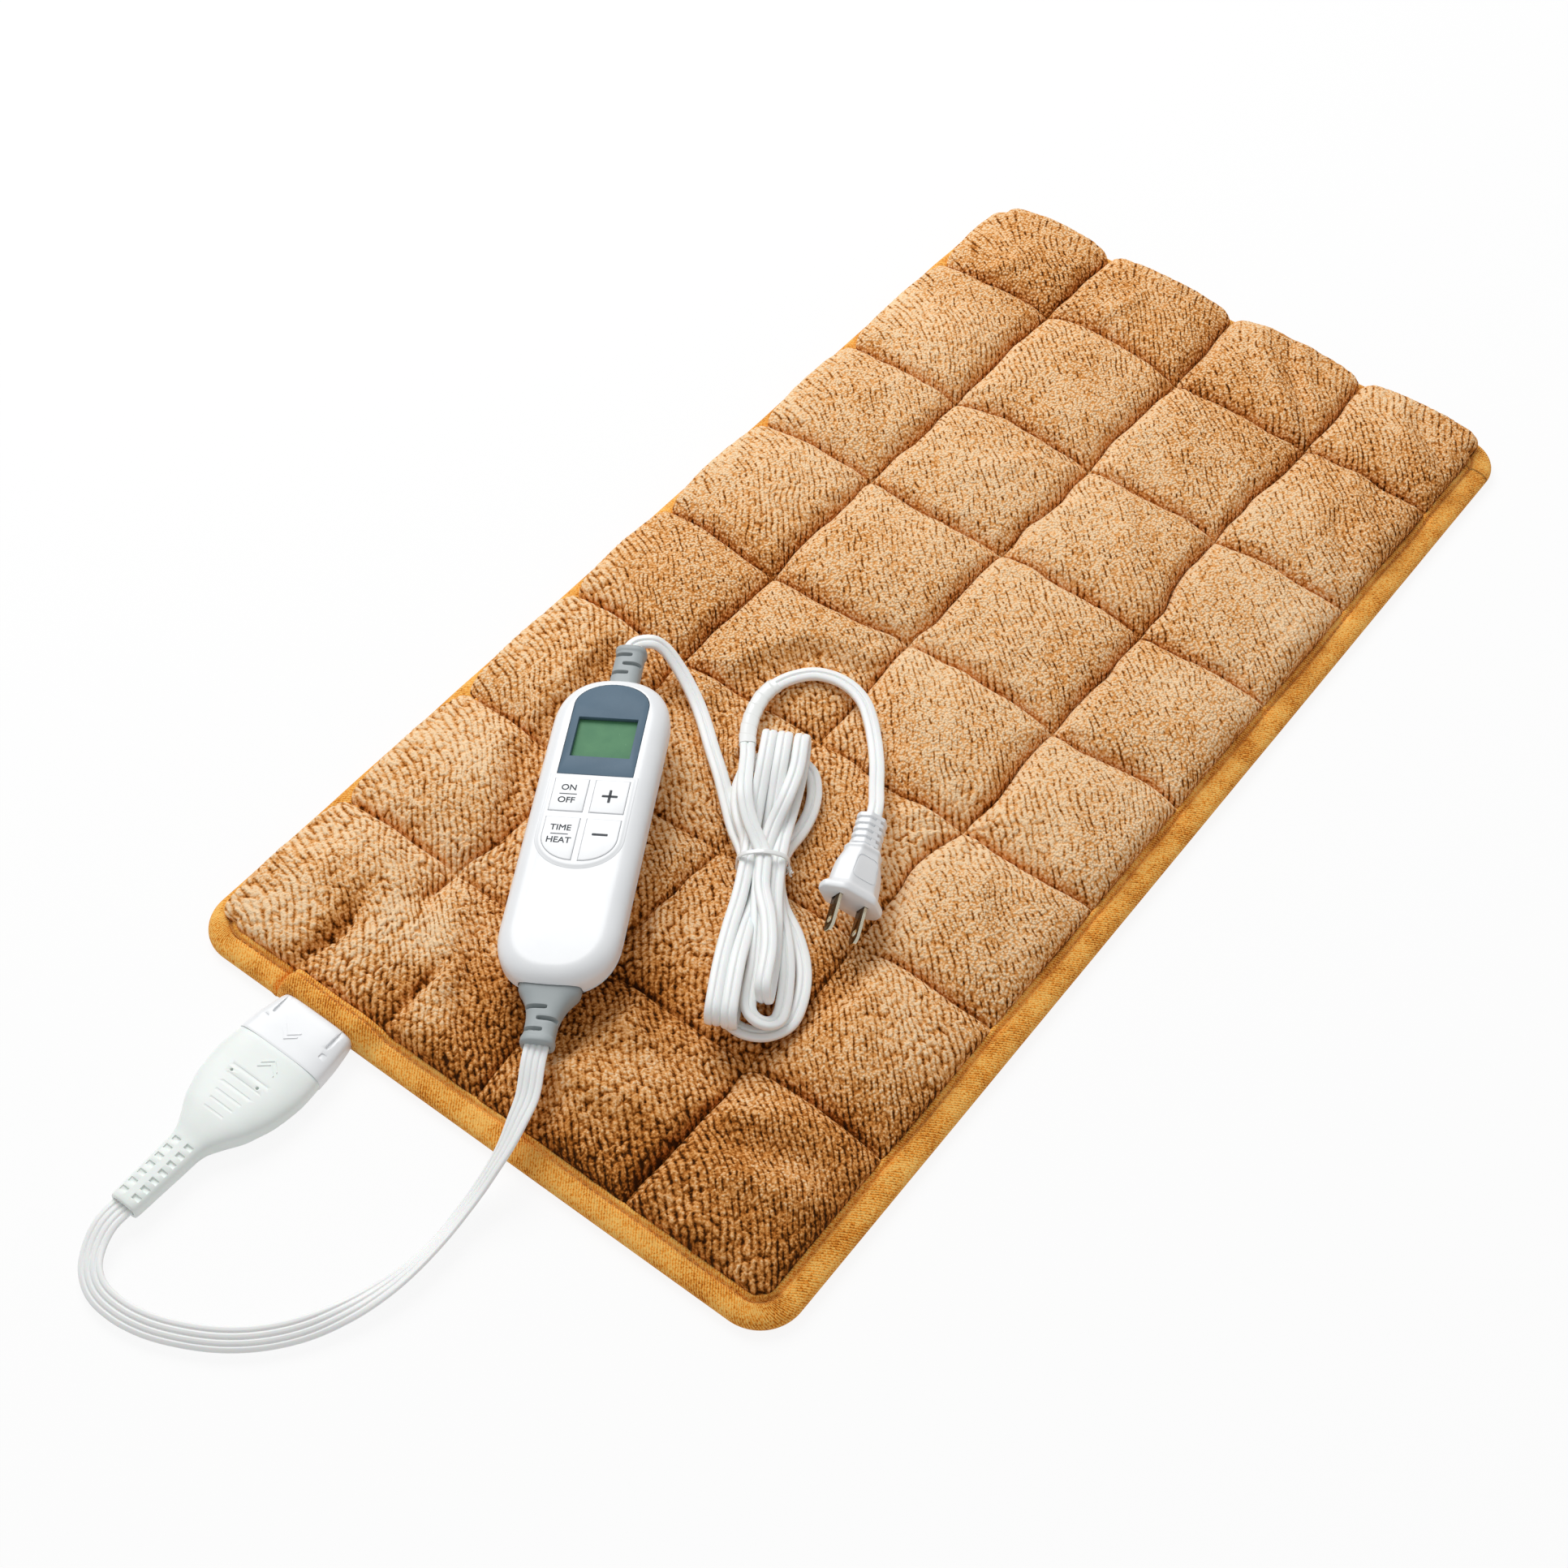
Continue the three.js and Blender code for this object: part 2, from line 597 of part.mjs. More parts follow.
function makeSocket() {
  const half = SOCKET_WIDTH / 2;
  const neck = SOCKET_NECK_WIDTH / 2;
  const tall = CONNECTOR_HEIGHT / 2;
  const middle = new THREE.Vector3(connectorX, 0, socketMiddle);
  const rear = -halfLength - SOCKET_REAR;
  const stations = [
    [rear, neck - 1, tall - 1], [rear - 1, neck, tall], [socketFace + SOCKET_REACH / 2, half - 0.8, tall],
    [socketFace, half, tall],
  ];
  const shell = drawnBody(stations, 5, 20, middle);
  const tail = blockAt(
    connectorX - TAIL_WIDTH / 2, connectorX + TAIL_WIDTH / 2, rear - SOCKET_FLOOR / 2, tailEnd,
    tailBottom, tailTop,
  );
  const mouth = blockAt(
    connectorX - NOSE_WIDTH / 2 - FIT, connectorX + NOSE_WIDTH / 2 + FIT, socketFace - FIT,
    socketFace + noseDepth + FIT, socketMiddle - NOSE_HEIGHT / 2 - FIT, socketMiddle + NOSE_HEIGHT / 2 + FIT,
  );
  const slots = [-1, 1].map((side) => {
    const outer = connectorX + side * (neck - ARM_WIDTH);
    const inner = outer - side * ARM_GAP;
    return blockAt(
      Math.min(outer, inner), Math.max(outer, inner), rear - ARM_LENGTH, rear + SOCKET_REAR,
      socketMiddle + NOSE_HEIGHT / 2 - FIT, socketMiddle + CONNECTOR_HEIGHT,
    );
  });
  const bores = pinXs.map((x) => rod(x, socketMiddle, socketFace, rear + FIT, PIN_DIAMETER / 2 + FIT, 8));
  addPiece(model, "socket_shell", cut(join(shell, [tail]), [mouth, ...slots, ...bores]), "shell");
  pinXs.forEach((x, i) => {
    const pin = rod(x, socketMiddle, pinRear - PIN_LENGTH, pinRear - FIT, PIN_DIAMETER / 2, 8);
    addPiece(model, `socket_pin_${i + 1}`, pin, "brass");
  });
}

function makeConnector() {
  const face = socketFace - FIT;
  const root = face - BELL_LENGTH;
  const tip = root - RELIEF_LENGTH;
  const tall = CONNECTOR_HEIGHT / 2;
  const wide = BELL_WIDTH / 2;
  const slim = RELIEF_ROOT_WIDTH / 2;
  const middle = new THREE.Vector3(connectorX, 0, socketMiddle);
  const shoulder = (share) => slim + (wide - slim) * share;
  const stations = [
    [face, SOCKET_WIDTH / 2, tall], [face - 0.22 * BELL_LENGTH, wide, tall],
    [face - 0.44 * BELL_LENGTH, shoulder(0.93), tall], [face - 0.61 * BELL_LENGTH, shoulder(0.7), tall],
    [face - 0.74 * BELL_LENGTH, shoulder(0.48), tall * 0.97],
    [face - 0.87 * BELL_LENGTH, shoulder(0.2), tall * 0.88],
    [root, slim, RELIEF_HEIGHT / 2], [tip + 1, RELIEF_TIP_WIDTH / 2, RELIEF_HEIGHT / 2],
    [tip, RELIEF_TIP_WIDTH / 2 - 0.6, RELIEF_HEIGHT / 2 - 0.6],
  ];
  const bell = drawnBody(stations, 3.4, 20, middle);
  const nose = blockAt(
    connectorX - NOSE_WIDTH / 2, connectorX + NOSE_WIDTH / 2, face - 1, socketFace + noseDepth,
    socketMiddle - NOSE_HEIGHT / 2, socketMiddle + NOSE_HEIGHT / 2,
  );
  const pockets = [];
  const pocketX = RELIEF_TIP_WIDTH / 4;
  for (let row = 0; row < POCKET_ROWS; row++) {
    const y = root - POCKET_LENGTH - row * POCKET_PITCH;
    for (const side of [-1, 1]) {
      for (const flip of [-1, 1]) {
        const x = connectorX + side * pocketX;
        const outer = socketMiddle + (flip * RELIEF_HEIGHT) / 2;
        pockets.push(blockAt(
          x - POCKET_WIDTH / 2, x + POCKET_WIDTH / 2, y - POCKET_LENGTH / 2, y + POCKET_LENGTH / 2,
          outer - POCKET_DEPTH, outer + POCKET_DEPTH,
        ));
      }
    }
  }
  const sleeveRadius = PIN_DIAMETER / 2 + FIT + SLEEVE_WALL;
  const mouthY = socketFace + noseDepth;
  const sleeveTop = mouthY - 1;
  const deepest = Math.min(sleeveTop - SLEEVE_LENGTH, pinRear - PIN_LENGTH) - FIT;
  const bores = pinXs.map((x) => rod(x, socketMiddle, deepest, mouthY + FIT, sleeveRadius + FIT, 8));
  addPiece(model, "connector_body", cut(join(bell, [nose]), [...pockets, ...bores]), "cream");
  pinXs.forEach((x, i) => {
    const profile = [
      [PIN_DIAMETER / 2 + FIT, 0], [sleeveRadius, 0], [sleeveRadius, SLEEVE_LENGTH],
      [PIN_DIAMETER / 2 + FIT, SLEEVE_LENGTH], [PIN_DIAMETER / 2 + FIT, 0],
    ].map(([r, h]) => new THREE.Vector2(r, h));
    const sleeve = new THREE.LatheGeometry(profile, 8).translate(x, sleeveTop - SLEEVE_LENGTH, socketMiddle);
    addPiece(model, `connector_sleeve_${i + 1}`, sleeve, "brass");
  });
  return new THREE.Vector3(connectorX, tip, socketMiddle);
}

// Controller, in its own frame: x across, y towards the top end, z up from the parting plane

const topFace = CONTROLLER_HEIGHT / 2;
const insideTop = topFace - WALL;
const plateTop = topFace + PLATE_RISE;
const boardTop = BOARD_HEIGHT + BOARD_THICK;
const flangeTop = insideTop - FIT;
const keyBottom = flangeTop - KEY_FLANGE_THICK;

// Places along the controller, measured down from its top end
const boardLength = CONTROLLER_LENGTH - 2 * BOARD_FROM_END;
const bezelTop = CONTROLLER_LENGTH / 2 - BEZEL_FROM_END;
const bezelBottom = bezelTop - BEZEL_LENGTH;
const windowTop = bezelTop - WINDOW_BELOW_ARCH;
const windowBottom = windowTop - WINDOW_LENGTH;
const keyUpperTop = bezelBottom - KEYS_BELOW_BEZEL;
const keyUpperBottom = keyUpperTop - KEY_UPPER_LENGTH;
const keyLowerTop = keyUpperBottom - KEY_ROW_GAP;
const keyLowerBottom = keyLowerTop - KEY_LOWER_LENGTH;

function housingOutline(inset) {
  const half = CONTROLLER_WIDTH / 2 - inset;
  const straight = CONTROLLER_LENGTH / 2 - END_LENGTH;
  const end = END_LENGTH - inset;
  const points = [];
  const steps = 8;
  for (const sign of [1, -1]) {
    for (let i = 0; i <= steps; i++) {
      const angle = (i / steps) * Math.PI;
      const [c, s] = [Math.cos(angle), Math.sin(angle)];
      const x = half * Math.sign(c) * Math.abs(c) ** (2 / END_POWER);
      const y = straight + end * Math.abs(s) ** (2 / END_POWER);
      points.push(new THREE.Vector2(sign * x, sign * y));
    }
  }
  return points;
}

function housingLoft(levels) {
  const rings = levels.map(([z, inset]) => housingOutline(inset).map((p) => new THREE.Vector3(p.x, p.y, z)));
  return loft(rings, housingOutline(0));
}

function roundedLevels(from, to, round, inset) {
  const grows = Math.sign(to - from);
  const share = [0, 0.42, 0.78, 1];
  const edge = share.map((s) => {
    const angle = (s * Math.PI) / 2;
    return [to - grows * round * 0.85 * (1 - Math.sin(angle)), inset + round * (1 - Math.cos(angle))];
  });
  const levels = [[from, inset], ...edge];
  return grows > 0 ? levels : levels.reverse();
}

// Lower half: its sides lean in to a smaller base, with an even wall.
function keelLevels(from, depth, inset) {
  const share = [0, 0.3, 0.66, 0.9, 1];
  const lean = [0, 0.2, 0.52, 0.8, 1];
  const reach = (KEEL * depth) / topFace;
  const levels = share.map((s, i) => [i === 0 ? from : -s * depth, inset + lean[i] * reach]);
  return levels.reverse();
}

function archShape(width, bottom, top, arch) {
  const half = width / 2;
  const shape = new THREE.Shape();
  shape.moveTo(-half, bottom);
  shape.lineTo(half, bottom);
  shape.lineTo(half, top - arch);
  shape.absellipse(0, top - arch, half, arch, 0, Math.PI);
  return shape;
}

// Key outline grown by a margin: the lower keys follow the curve of the key plate.
function keyShape(side, upper, grow) {
  const inner = side * (KEY_INNER - grow);
  const outer = side * (KEY_OUTER + grow);
  const shape = new THREE.Shape();
  if (upper) {
    shape.moveTo(inner, keyUpperBottom - grow);
    shape.lineTo(outer, keyUpperBottom - grow);
    shape.lineTo(outer, keyUpperTop + grow);
    shape.lineTo(inner, keyUpperTop + grow);
    return shape;
  }
  const turn = keyLowerBottom + KEY_CURVE;
  const reach = KEY_OUTER - KEY_INNER;
  shape.moveTo(inner, keyLowerTop + grow);
  shape.lineTo(inner, keyLowerBottom - grow);
  for (let i = 1; i <= 6; i++) {
    const angle = (i / 6) * (Math.PI / 2);
    const x = side * (KEY_INNER + (reach + grow) * Math.sin(angle));
    shape.lineTo(x, turn - (KEY_CURVE + grow) * Math.cos(angle));
  }
  shape.lineTo(outer, keyLowerTop + grow);
  return shape;
}

function keyPlateShape() {
  const half = KEY_OUTER + PLATE_MARGIN;
  const turn = keyLowerBottom + KEY_CURVE;
  const shape = new THREE.Shape();
  shape.moveTo(half, turn);
  shape.lineTo(half, keyUpperTop + PLATE_MARGIN);
  shape.lineTo(-half, keyUpperTop + PLATE_MARGIN);
  shape.lineTo(-half, turn);
  shape.absellipse(0, turn, half, KEY_CURVE + PLATE_MARGIN + 1, Math.PI, 2 * Math.PI);
  return shape;
}

const keys = [
  ["button_on_off", -1, true], ["button_plus", 1, true],
  ["button_time_heat", -1, false], ["button_minus", 1, false],
];
const screwY = CONTROLLER_LENGTH / 2 - SCREW_FROM_END;
const screwPlaces = [[-1, -1], [1, -1], [-1, 1], [1, 1]].map(([sx, sy]) => [sx * SCREW_X, sy * screwY]);
const controller = new THREE.Group();

// Seat of a relief's flange: where the cavity's curved end wall is as wide as the flange.
function glandSeat(width) {
  const across = (width / 2 + GLAND_FLANGE) / (CONTROLLER_WIDTH / 2 - WALL);
  const along = Math.sqrt(1 - across ** END_POWER) ** (2 / END_POWER);
  return CONTROLLER_LENGTH / 2 - END_LENGTH + (END_LENGTH - WALL) * along - GLAND_SETBACK;
}

function glandHoles(grow) {
  const outside = CONTROLLER_LENGTH / 2 + 1;
  const hole = (y0, y1, width, height) =>
    drawnBody([y0, y1].map((y) => [y, width / 2 + grow, height / 2 + grow]), 3, 16);
  return [
    hole(outside, glandSeat(GLAND_WIDTH), GLAND_WIDTH, GLAND_HEIGHT),
    hole(-glandSeat(GLAND_FLARE_WIDTH), -outside, GLAND_FLARE_WIDTH, GLAND_FLARE_HEIGHT),
  ];
}

function makeHousing() {
  const low = PARTING_GAP / 2;
  const cavityRound = TOP_ROUND - WALL;
  const outer = housingLoft(roundedLevels(low, topFace, TOP_ROUND, 0));
  const cavity = housingLoft(roundedLevels(low - 1, insideTop, cavityRound, WALL));
  const keyPlate = plate(keyPlateShape(), topFace - WALL / 2, plateTop, 10);
  const bezelPocket = plate(
    archShape(BEZEL_WIDTH + 2 * SLIP, bezelBottom - SLIP, bezelTop + SLIP, BEZEL_ARCH + SLIP),
    topFace - BEZEL_THICK - FIT, plateTop + 1, 12);
  const windowHole = blockAt(
    -WINDOW_WIDTH / 2 - FIT, WINDOW_WIDTH / 2 + FIT, windowBottom - FIT, windowTop + FIT,
    insideTop - 1, plateTop);
  const keyHoles = keys.map(([, side, upper]) =>
    plate(keyShape(side, upper, SLIP), insideTop - 1, plateTop + 1));
  const bosses = screwPlaces.map(([x, y]) => post(x, y, low, insideTop + WALL / 2, BOSS_DIAMETER / 2));
  const boreRadius = SCREW_DIAMETER / 2 + FIT;
  const bores = screwPlaces.map(([x, y]) => post(x, y, low - 1, insideTop - WALL / 2, boreRadius, 8));
  const shell = join(cut(join(outer, [keyPlate]), [cavity]), bosses);
  const upper = cut(shell, [bezelPocket, windowHole, ...keyHoles, ...bores, ...glandHoles(FIT)]);
  addPiece(controller, "upper_housing", upper, "shell");

  const lowOuter = housingLoft(keelLevels(-low, topFace, 0));
  const lowCavity = housingLoft(keelLevels(low, insideTop, WALL));
  const lowBosses = screwPlaces.map(([x, y]) => post(x, y, -insideTop - WALL / 2, -low, BOSS_DIAMETER / 2));
  const rests = [-1, 1].flatMap((sx) => [-1, 1].map((sy) => post(
    (sx * BOARD_WIDTH) / 2.6, (sy * boardLength) / 2.3, -insideTop - WALL / 2, BOARD_HEIGHT - FIT, 2.5, 8)));
  const shanks = screwPlaces.map(([x, y]) => post(x, y, -topFace - 1, 1, boreRadius, 8));
  const headSeat = -topFace + SCREW_HEAD_HEIGHT + FIT;
  const headRadius = SCREW_HEAD / 2 + FIT;
  const heads = screwPlaces.map(([x, y]) => post(x, y, -topFace - 1, headSeat + FIT, headRadius, 12));
  const lowShell = join(cut(lowOuter, [lowCavity]), [...lowBosses, ...rests]);
  addPiece(controller, "lower_housing", cut(lowShell, [...shanks, ...heads, ...glandHoles(FIT)]), "shell");
  screwPlaces.forEach(([x, y], i) => {
    const head = post(x, y, headSeat - SCREW_HEAD_HEIGHT, headSeat, SCREW_HEAD / 2, 12);
    const shank = post(x, y, headSeat - 1, headSeat + SCREW_LENGTH, SCREW_DIAMETER / 2, 10);
    addPiece(controller, `housing_screw_${i + 1}`, join(head, [shank]), "steel");
  });
}

function makeFace() {
  const arch = archShape(BEZEL_WIDTH, bezelBottom, bezelTop, BEZEL_ARCH);
  const bezel = plate(arch, topFace - BEZEL_THICK, topFace, 12);
  const hole = blockAt(-WINDOW_WIDTH / 2, WINDOW_WIDTH / 2, windowBottom, windowTop, insideTop, topFace + 1);
  addPiece(controller, "display_bezel", cut(bezel, [hole]), "slate");
  const lcd = blockAt(
    -WINDOW_WIDTH / 2 - LCD_BORDER, WINDOW_WIDTH / 2 + LCD_BORDER, windowBottom - LCD_BORDER,
    windowTop + LCD_BORDER, boardTop + FIT, insideTop - FIT);
  addPiece(controller, "lcd_module", lcd, "display");
  const switchTop = keyBottom - KEY_TRAVEL - FIT / 3;
  for (const [name, side, upper] of keys) {
    const cap = plate(keyShape(side, upper, 0), flangeTop - KEY_FLANGE_THICK / 2, plateTop + KEY_PROUD);
    const flange = plate(keyShape(side, upper, KEY_FLANGE), keyBottom, flangeTop);
    addPiece(controller, name, join(cap, [flange]), "shell");
    const x = (side * (KEY_INNER + KEY_OUTER)) / 2;
    const y = upper ? (keyUpperBottom + keyUpperTop) / 2 : (keyLowerBottom + keyLowerTop) / 2 + 1;
    const foot = boardTop + FIT;
    const body = blockAt(x - 3, x + 3, y - 3, y + 3, foot, foot + 3.4);
    const stem = post(x, y, foot + 3, switchTop, 1.7, 10);
    addPiece(controller, name.replace("button", "tact_switch"), join(body, [stem]), "dark");
  }
}

function makeElectronics() {
  const outline = roundedRectangle(BOARD_WIDTH, boardLength, 5);
  addPiece(controller, "circuit_board", plate(outline, BOARD_HEIGHT, boardTop, 3), "board");
  const under = BOARD_HEIGHT - FIT;
  const onBoard = boardTop + FIT;
  addPiece(controller, "microcontroller", blockAt(-5, 5, -44, -34, onBoard, onBoard + 1.4), "dark");
  const capacitor = roundedRectangle(9, 18, 1);
  addPiece(controller, "film_capacitor", plate(capacitor, under - 7, under, 2).translate(-6, -20, 0), "wire");
  addPiece(controller, "triac", blockAt(3, 13.2, -30, -21, under - 4.6, under), "dark");
  addPiece(controller, "fuse", rod(8, under - 2.6, 4, 24, 2.6), "glass");
}

// Moulded grey relief: a flange inside the wall, then a flare or a straight neck with staggered slots.
function makeGland(name, sign, length, rootWidth, rootHeight) {
  const half = CONTROLLER_LENGTH / 2;
  const tip = half + length;
  const inside = glandSeat(rootWidth) - GLAND_FLANGE_THICK;
  const flare = (share) => GLAND_WIDTH / 2 + ((rootWidth - GLAND_WIDTH) / 2) * share;
  const rise = (share) => GLAND_HEIGHT / 2 + ((rootHeight - GLAND_HEIGHT) / 2) * share;
  const reach = (share) => half + length * share;
  const stations = [
    [inside, flare(1) - FIT, rise(1) - FIT], [half - WALL, flare(1) - FIT, rise(1) - FIT],
    [reach(0), flare(1), rise(1)], [reach(0.14), flare(0.62), rise(0.7)],
    [reach(0.28), flare(0.3), rise(0.4)], [reach(0.45), flare(0.08), rise(0.12)],
    [reach(0.62), flare(0), rise(0)], [reach(0.86), flare(0), rise(0)],
    [reach(0.88), flare(0) + 0.5, rise(0) + 0.4], [reach(1), flare(0) + 0.4, rise(0) + 0.3],
  ];
  const placed = stations.map(([y, halfX, halfZ]) => [sign * y, halfX, halfZ]);
  const body = drawnBody(sign > 0 ? placed.reverse() : placed, 3, 16);
  const slots = [];
  for (let i = 0; i < GLAND_SLOTS; i++) {
    const y = sign * (tip - 3.4 - i * GLAND_SLOT_PITCH);
    const side = i % 2 === 0 ? -1 : 1;
    for (const flip of [-1, 1]) {
      const outer = (flip * GLAND_HEIGHT) / 2;
      const x0 = side * (GLAND_WIDTH / 2 + 1);
      const x1 = -side * 1.6;
      slots.push(blockAt(
        Math.min(x0, x1), Math.max(x0, x1), y - GLAND_SLOT_WIDTH / 2, y + GLAND_SLOT_WIDTH / 2,
        outer - GLAND_SLOT_DEPTH, outer + GLAND_SLOT_DEPTH));
    }
  }
  const collar = drawnBody(
    (sign > 0 ? [inside + GLAND_FLANGE_THICK, inside] : [-inside, -inside - GLAND_FLANGE_THICK])
      .map((y) => [y, flare(1) + GLAND_FLANGE, rise(1) + GLAND_FLANGE]), 3, 16);
  const clipped = cut(join(body, [collar]), slots);
  addPiece(controller, name, clipped, "grey");
  return new THREE.Vector3(0, sign * (tip + FIT), 0);
}

function settle(group) {
  model.add(group);
  group.updateMatrixWorld(true);
  const lowest = new THREE.Box3().setFromObject(group, true).min.z;
  group.position.z += leadRest - lowest;
  group.updateMatrixWorld(true);
}

function makeController() {
  makeHousing();
  makeFace();
  makeElectronics();
  const topExit = makeGland("top_strain_relief", 1, GLAND_REACH_TOP, GLAND_WIDTH, GLAND_HEIGHT);
  const [flareWidth, flareHeight] = [GLAND_FLARE_WIDTH, GLAND_FLARE_HEIGHT];
  const bottomExit = makeGland("bottom_strain_relief", -1, GLAND_REACH_BOTTOM, flareWidth, flareHeight);
  controller.position.set(CONTROLLER_X, CONTROLLER_Y, 0);
  controller.rotation.set(0, -radians(CONTROLLER_ROLL), radians(CONTROLLER_TURN), "ZYX");
  settle(controller);
  return [controller.localToWorld(topExit), controller.localToWorld(bottomExit)];
}

// Mains plug, in its own frame: blades point along -y

function makePlug() {
  const plug = new THREE.Group();
  const wide = PLUG_WIDTH / 2;
  const tall = PLUG_HEIGHT / 2;
  const slim = PLUG_RELIEF_WIDTH / 2;
  const low = PLUG_RELIEF_HEIGHT / 2;
  const root = PLUG_BODY;
  const tip = root + PLUG_RELIEF;
  const [flangeWide, flangeTall] = [FLANGE_WIDTH / 2, FLANGE_HEIGHT / 2];
  const stations = [[tip, slim - 0.8, low - 0.6]];
  const groove = PLUG_RELIEF / PLUG_GROOVES;
  for (let i = 0; i < PLUG_GROOVES; i++) {
    const y = tip - i * groove;
    const rib = [y - 0.3, y - 0.62 * groove].map((at) => [at, slim, low]);
    const cutBack = [slim - PLUG_GROOVE_DEPTH, low - PLUG_GROOVE_DEPTH];
    const dip = [y - 0.7 * groove, y - 0.94 * groove].map((at) => [at, ...cutBack]);
    stations.push(...rib, ...dip);
  }
  stations.push(
    [root - 0.5, slim + 0.4, low + 0.5], [root - 4, slim + 1.6, tall - 0.8], [root - 9, wide - 1.6, tall],
    [FLANGE_THICK + 1.4, wide, tall], [FLANGE_THICK, wide + 0.4, tall + 0.2],
    [FLANGE_THICK - 0.6, flangeWide - 0.6, flangeTall - 0.5], [FLANGE_THICK - 1.6, flangeWide, flangeTall],
    [0.6, flangeWide, flangeTall], [0, flangeWide - 0.6, flangeTall - 0.6],
  );
  const body = drawnBody(stations, 3, 16);
  const slots = [-1, 1].map((side) => {
    const x = (side * BLADE_PITCH) / 2;
    const [across, high] = [BLADE_THICK / 2 + FIT, BLADE_WIDTH / 2 + FIT];
    return blockAt(x - across, x + across, -1, BLADE_ROOT + FIT, -high, high);
  });
  addPiece(plug, "mains_plug_body", cut(body, slots), "shell");
  for (const [name, side] of [["left", -1], ["right", 1]]) {
    const blade = new THREE.Shape();
    const half = BLADE_WIDTH / 2;
    const taper = 1.6;
    blade.moveTo(BLADE_ROOT, -half);
    blade.lineTo(BLADE_ROOT, half);
    blade.lineTo(taper - BLADE_REACH, half);
    blade.lineTo(-BLADE_REACH, half - taper);
    blade.lineTo(-BLADE_REACH, taper - half);
    blade.lineTo(taper - BLADE_REACH, -half);
    const hole = new THREE.Path();
    hole.absarc(BLADE_HOLE_FROM_TIP - BLADE_REACH, 0, BLADE_HOLE / 2, 0, 2 * Math.PI);
    blade.holes.push(hole);
    const geometry = plate(blade, -BLADE_THICK / 2, BLADE_THICK / 2, 6);
    geometry.rotateZ(Math.PI / 2).rotateY(Math.PI / 2).translate((side * BLADE_PITCH) / 2, 0, 0);
    addPiece(plug, `plug_blade_${name}`, geometry, "brass");
  }
  plug.position.set(PLUG_X, PLUG_Y, 0);
  plug.rotation.set(radians(PLUG_PITCH), radians(PLUG_ROLL), radians(PLUG_TURN), "ZXY");
  settle(plug);
  return [tip + FIT, tip + FIT + MAINS_WIDTH].map((y) => plug.localToWorld(new THREE.Vector3(0, y, 0)));
}

// Cords

function flatSection(width, thick) {
  return superellipse(width / 2, thick / 2, 2.6, 8);
}

const layerPitch = MAINS_THICK + HANK_GAP;
const slotPitch = MAINS_WIDTH + HANK_GAP;
const hankFloor = leadRest + TIE_THICK + FIT + MAINS_THICK / 2;

function hankPlace(u, v, layer) {
  const turn = radians(HANK_TURN);
  const [c, s] = [Math.cos(turn), Math.sin(turn)];
  return new THREE.Vector3(HANK_X + u * c - v * s, HANK_Y + u * s + v * c, hankFloor + layer * layerPitch);
}

// Runs of the hank from the controller's end, going down and up by turns. The waist is [slot, layer] and
// each end [u, v, layer]. A loop turns flat; a fold turns upright, the easy way for a flat cord.
const hankRuns = [
  { waist: [-1, 0], bottom: [-8, -66, 0], turn: "loop" },
  { waist: [1, 0], bottom: [24, -66, 0], top: [16.5, 46, 0], turn: "loop" },
  { waist: [-1, 1], top: [-15.5, 46, 0], bottom: [-8.8, -78, 1], turn: "fold" },
  { waist: [-1, 2], bottom: [-9.4, -79, 4], top: [-6, 61, 4], turn: "fold" },
  { waist: [0, 0], top: [-6, 61, 1], bottom: [-2, -79, 1], turn: "fold" },
  { waist: [0, 1], bottom: [-2.8, -79, 4.1], top: [0.8, 61, 4], turn: "fold" },
  { waist: [1, 1], top: [0.8, 61, 1], bottom: [17.5, -73, 1], turn: "loop" },
  { waist: [0, 2], bottom: [4, -73, 2.4], top: [8.2, 61, 4], turn: "fold", climb: [0.05, 0.6] },
  { waist: [1, 2], top: [9.2, 61, 1], bottom: [10.8, -66, 1.6], turn: "fold" },
  { waist: [0, 3.05], bottom: [9, -66, 4.6] },
];
const hankCrown = Math.max(...hankRuns.map((run) => run.waist[1]));
const hankShoulder = Math.max(...hankRuns.filter((run) => run.waist[0] !== 0).map((run) => run.waist[1]));

// Shares of the way from waist to end at which a run has points, and over which it spreads, climbs or sinks.
const RUN_SHARES = [0.25, 0.5, 0.75, 1];
const SPREAD_OUT = [0.05, 0.75];
const DRAW_IN = [0.25, 0.9];
const CLIMB = [0.15, 0.8];
const SINK = [0.45, 0.95];
const TURN_STEPS = 5;

function hankHalf(run, end) {
  const [slot, waistLayer] = run.waist;
  const waist = slot * slotPitch;
  const [endU, endV, endLayer] = end;
  const spread = Math.abs(endU) > Math.abs(waist) ? SPREAD_OUT : DRAW_IN;
  const climb = endLayer > waistLayer ? run.climb ?? CLIMB : SINK;
  return RUN_SHARES.map((share) => hankPlace(
    waist + (endU - waist) * smooth(share, ...spread), endV * share,
    waistLayer + (endLayer - waistLayer) * smooth(share, ...climb)));
}

function hankTurn(kind, [u0, v0, layer0], [u1, v1, layer1]) {
  const across = kind === "loop" ? u1 - u0 : (layer1 - layer0) * layerPitch;
  const reach = (Math.sign(v0) * Math.abs(across)) / 2;
  return Array.from({ length: TURN_STEPS - 1 }, (_, i) => {
    const angle = ((i + 1) / TURN_STEPS) * Math.PI;
    const way = (1 - Math.cos(angle)) / 2;
    const v = v0 + (v1 - v0) * way + reach * Math.sin(angle);
    return hankPlace(u0 + (u1 - u0) * way, v, layer0 + (layer1 - layer0) * way);
  });
}

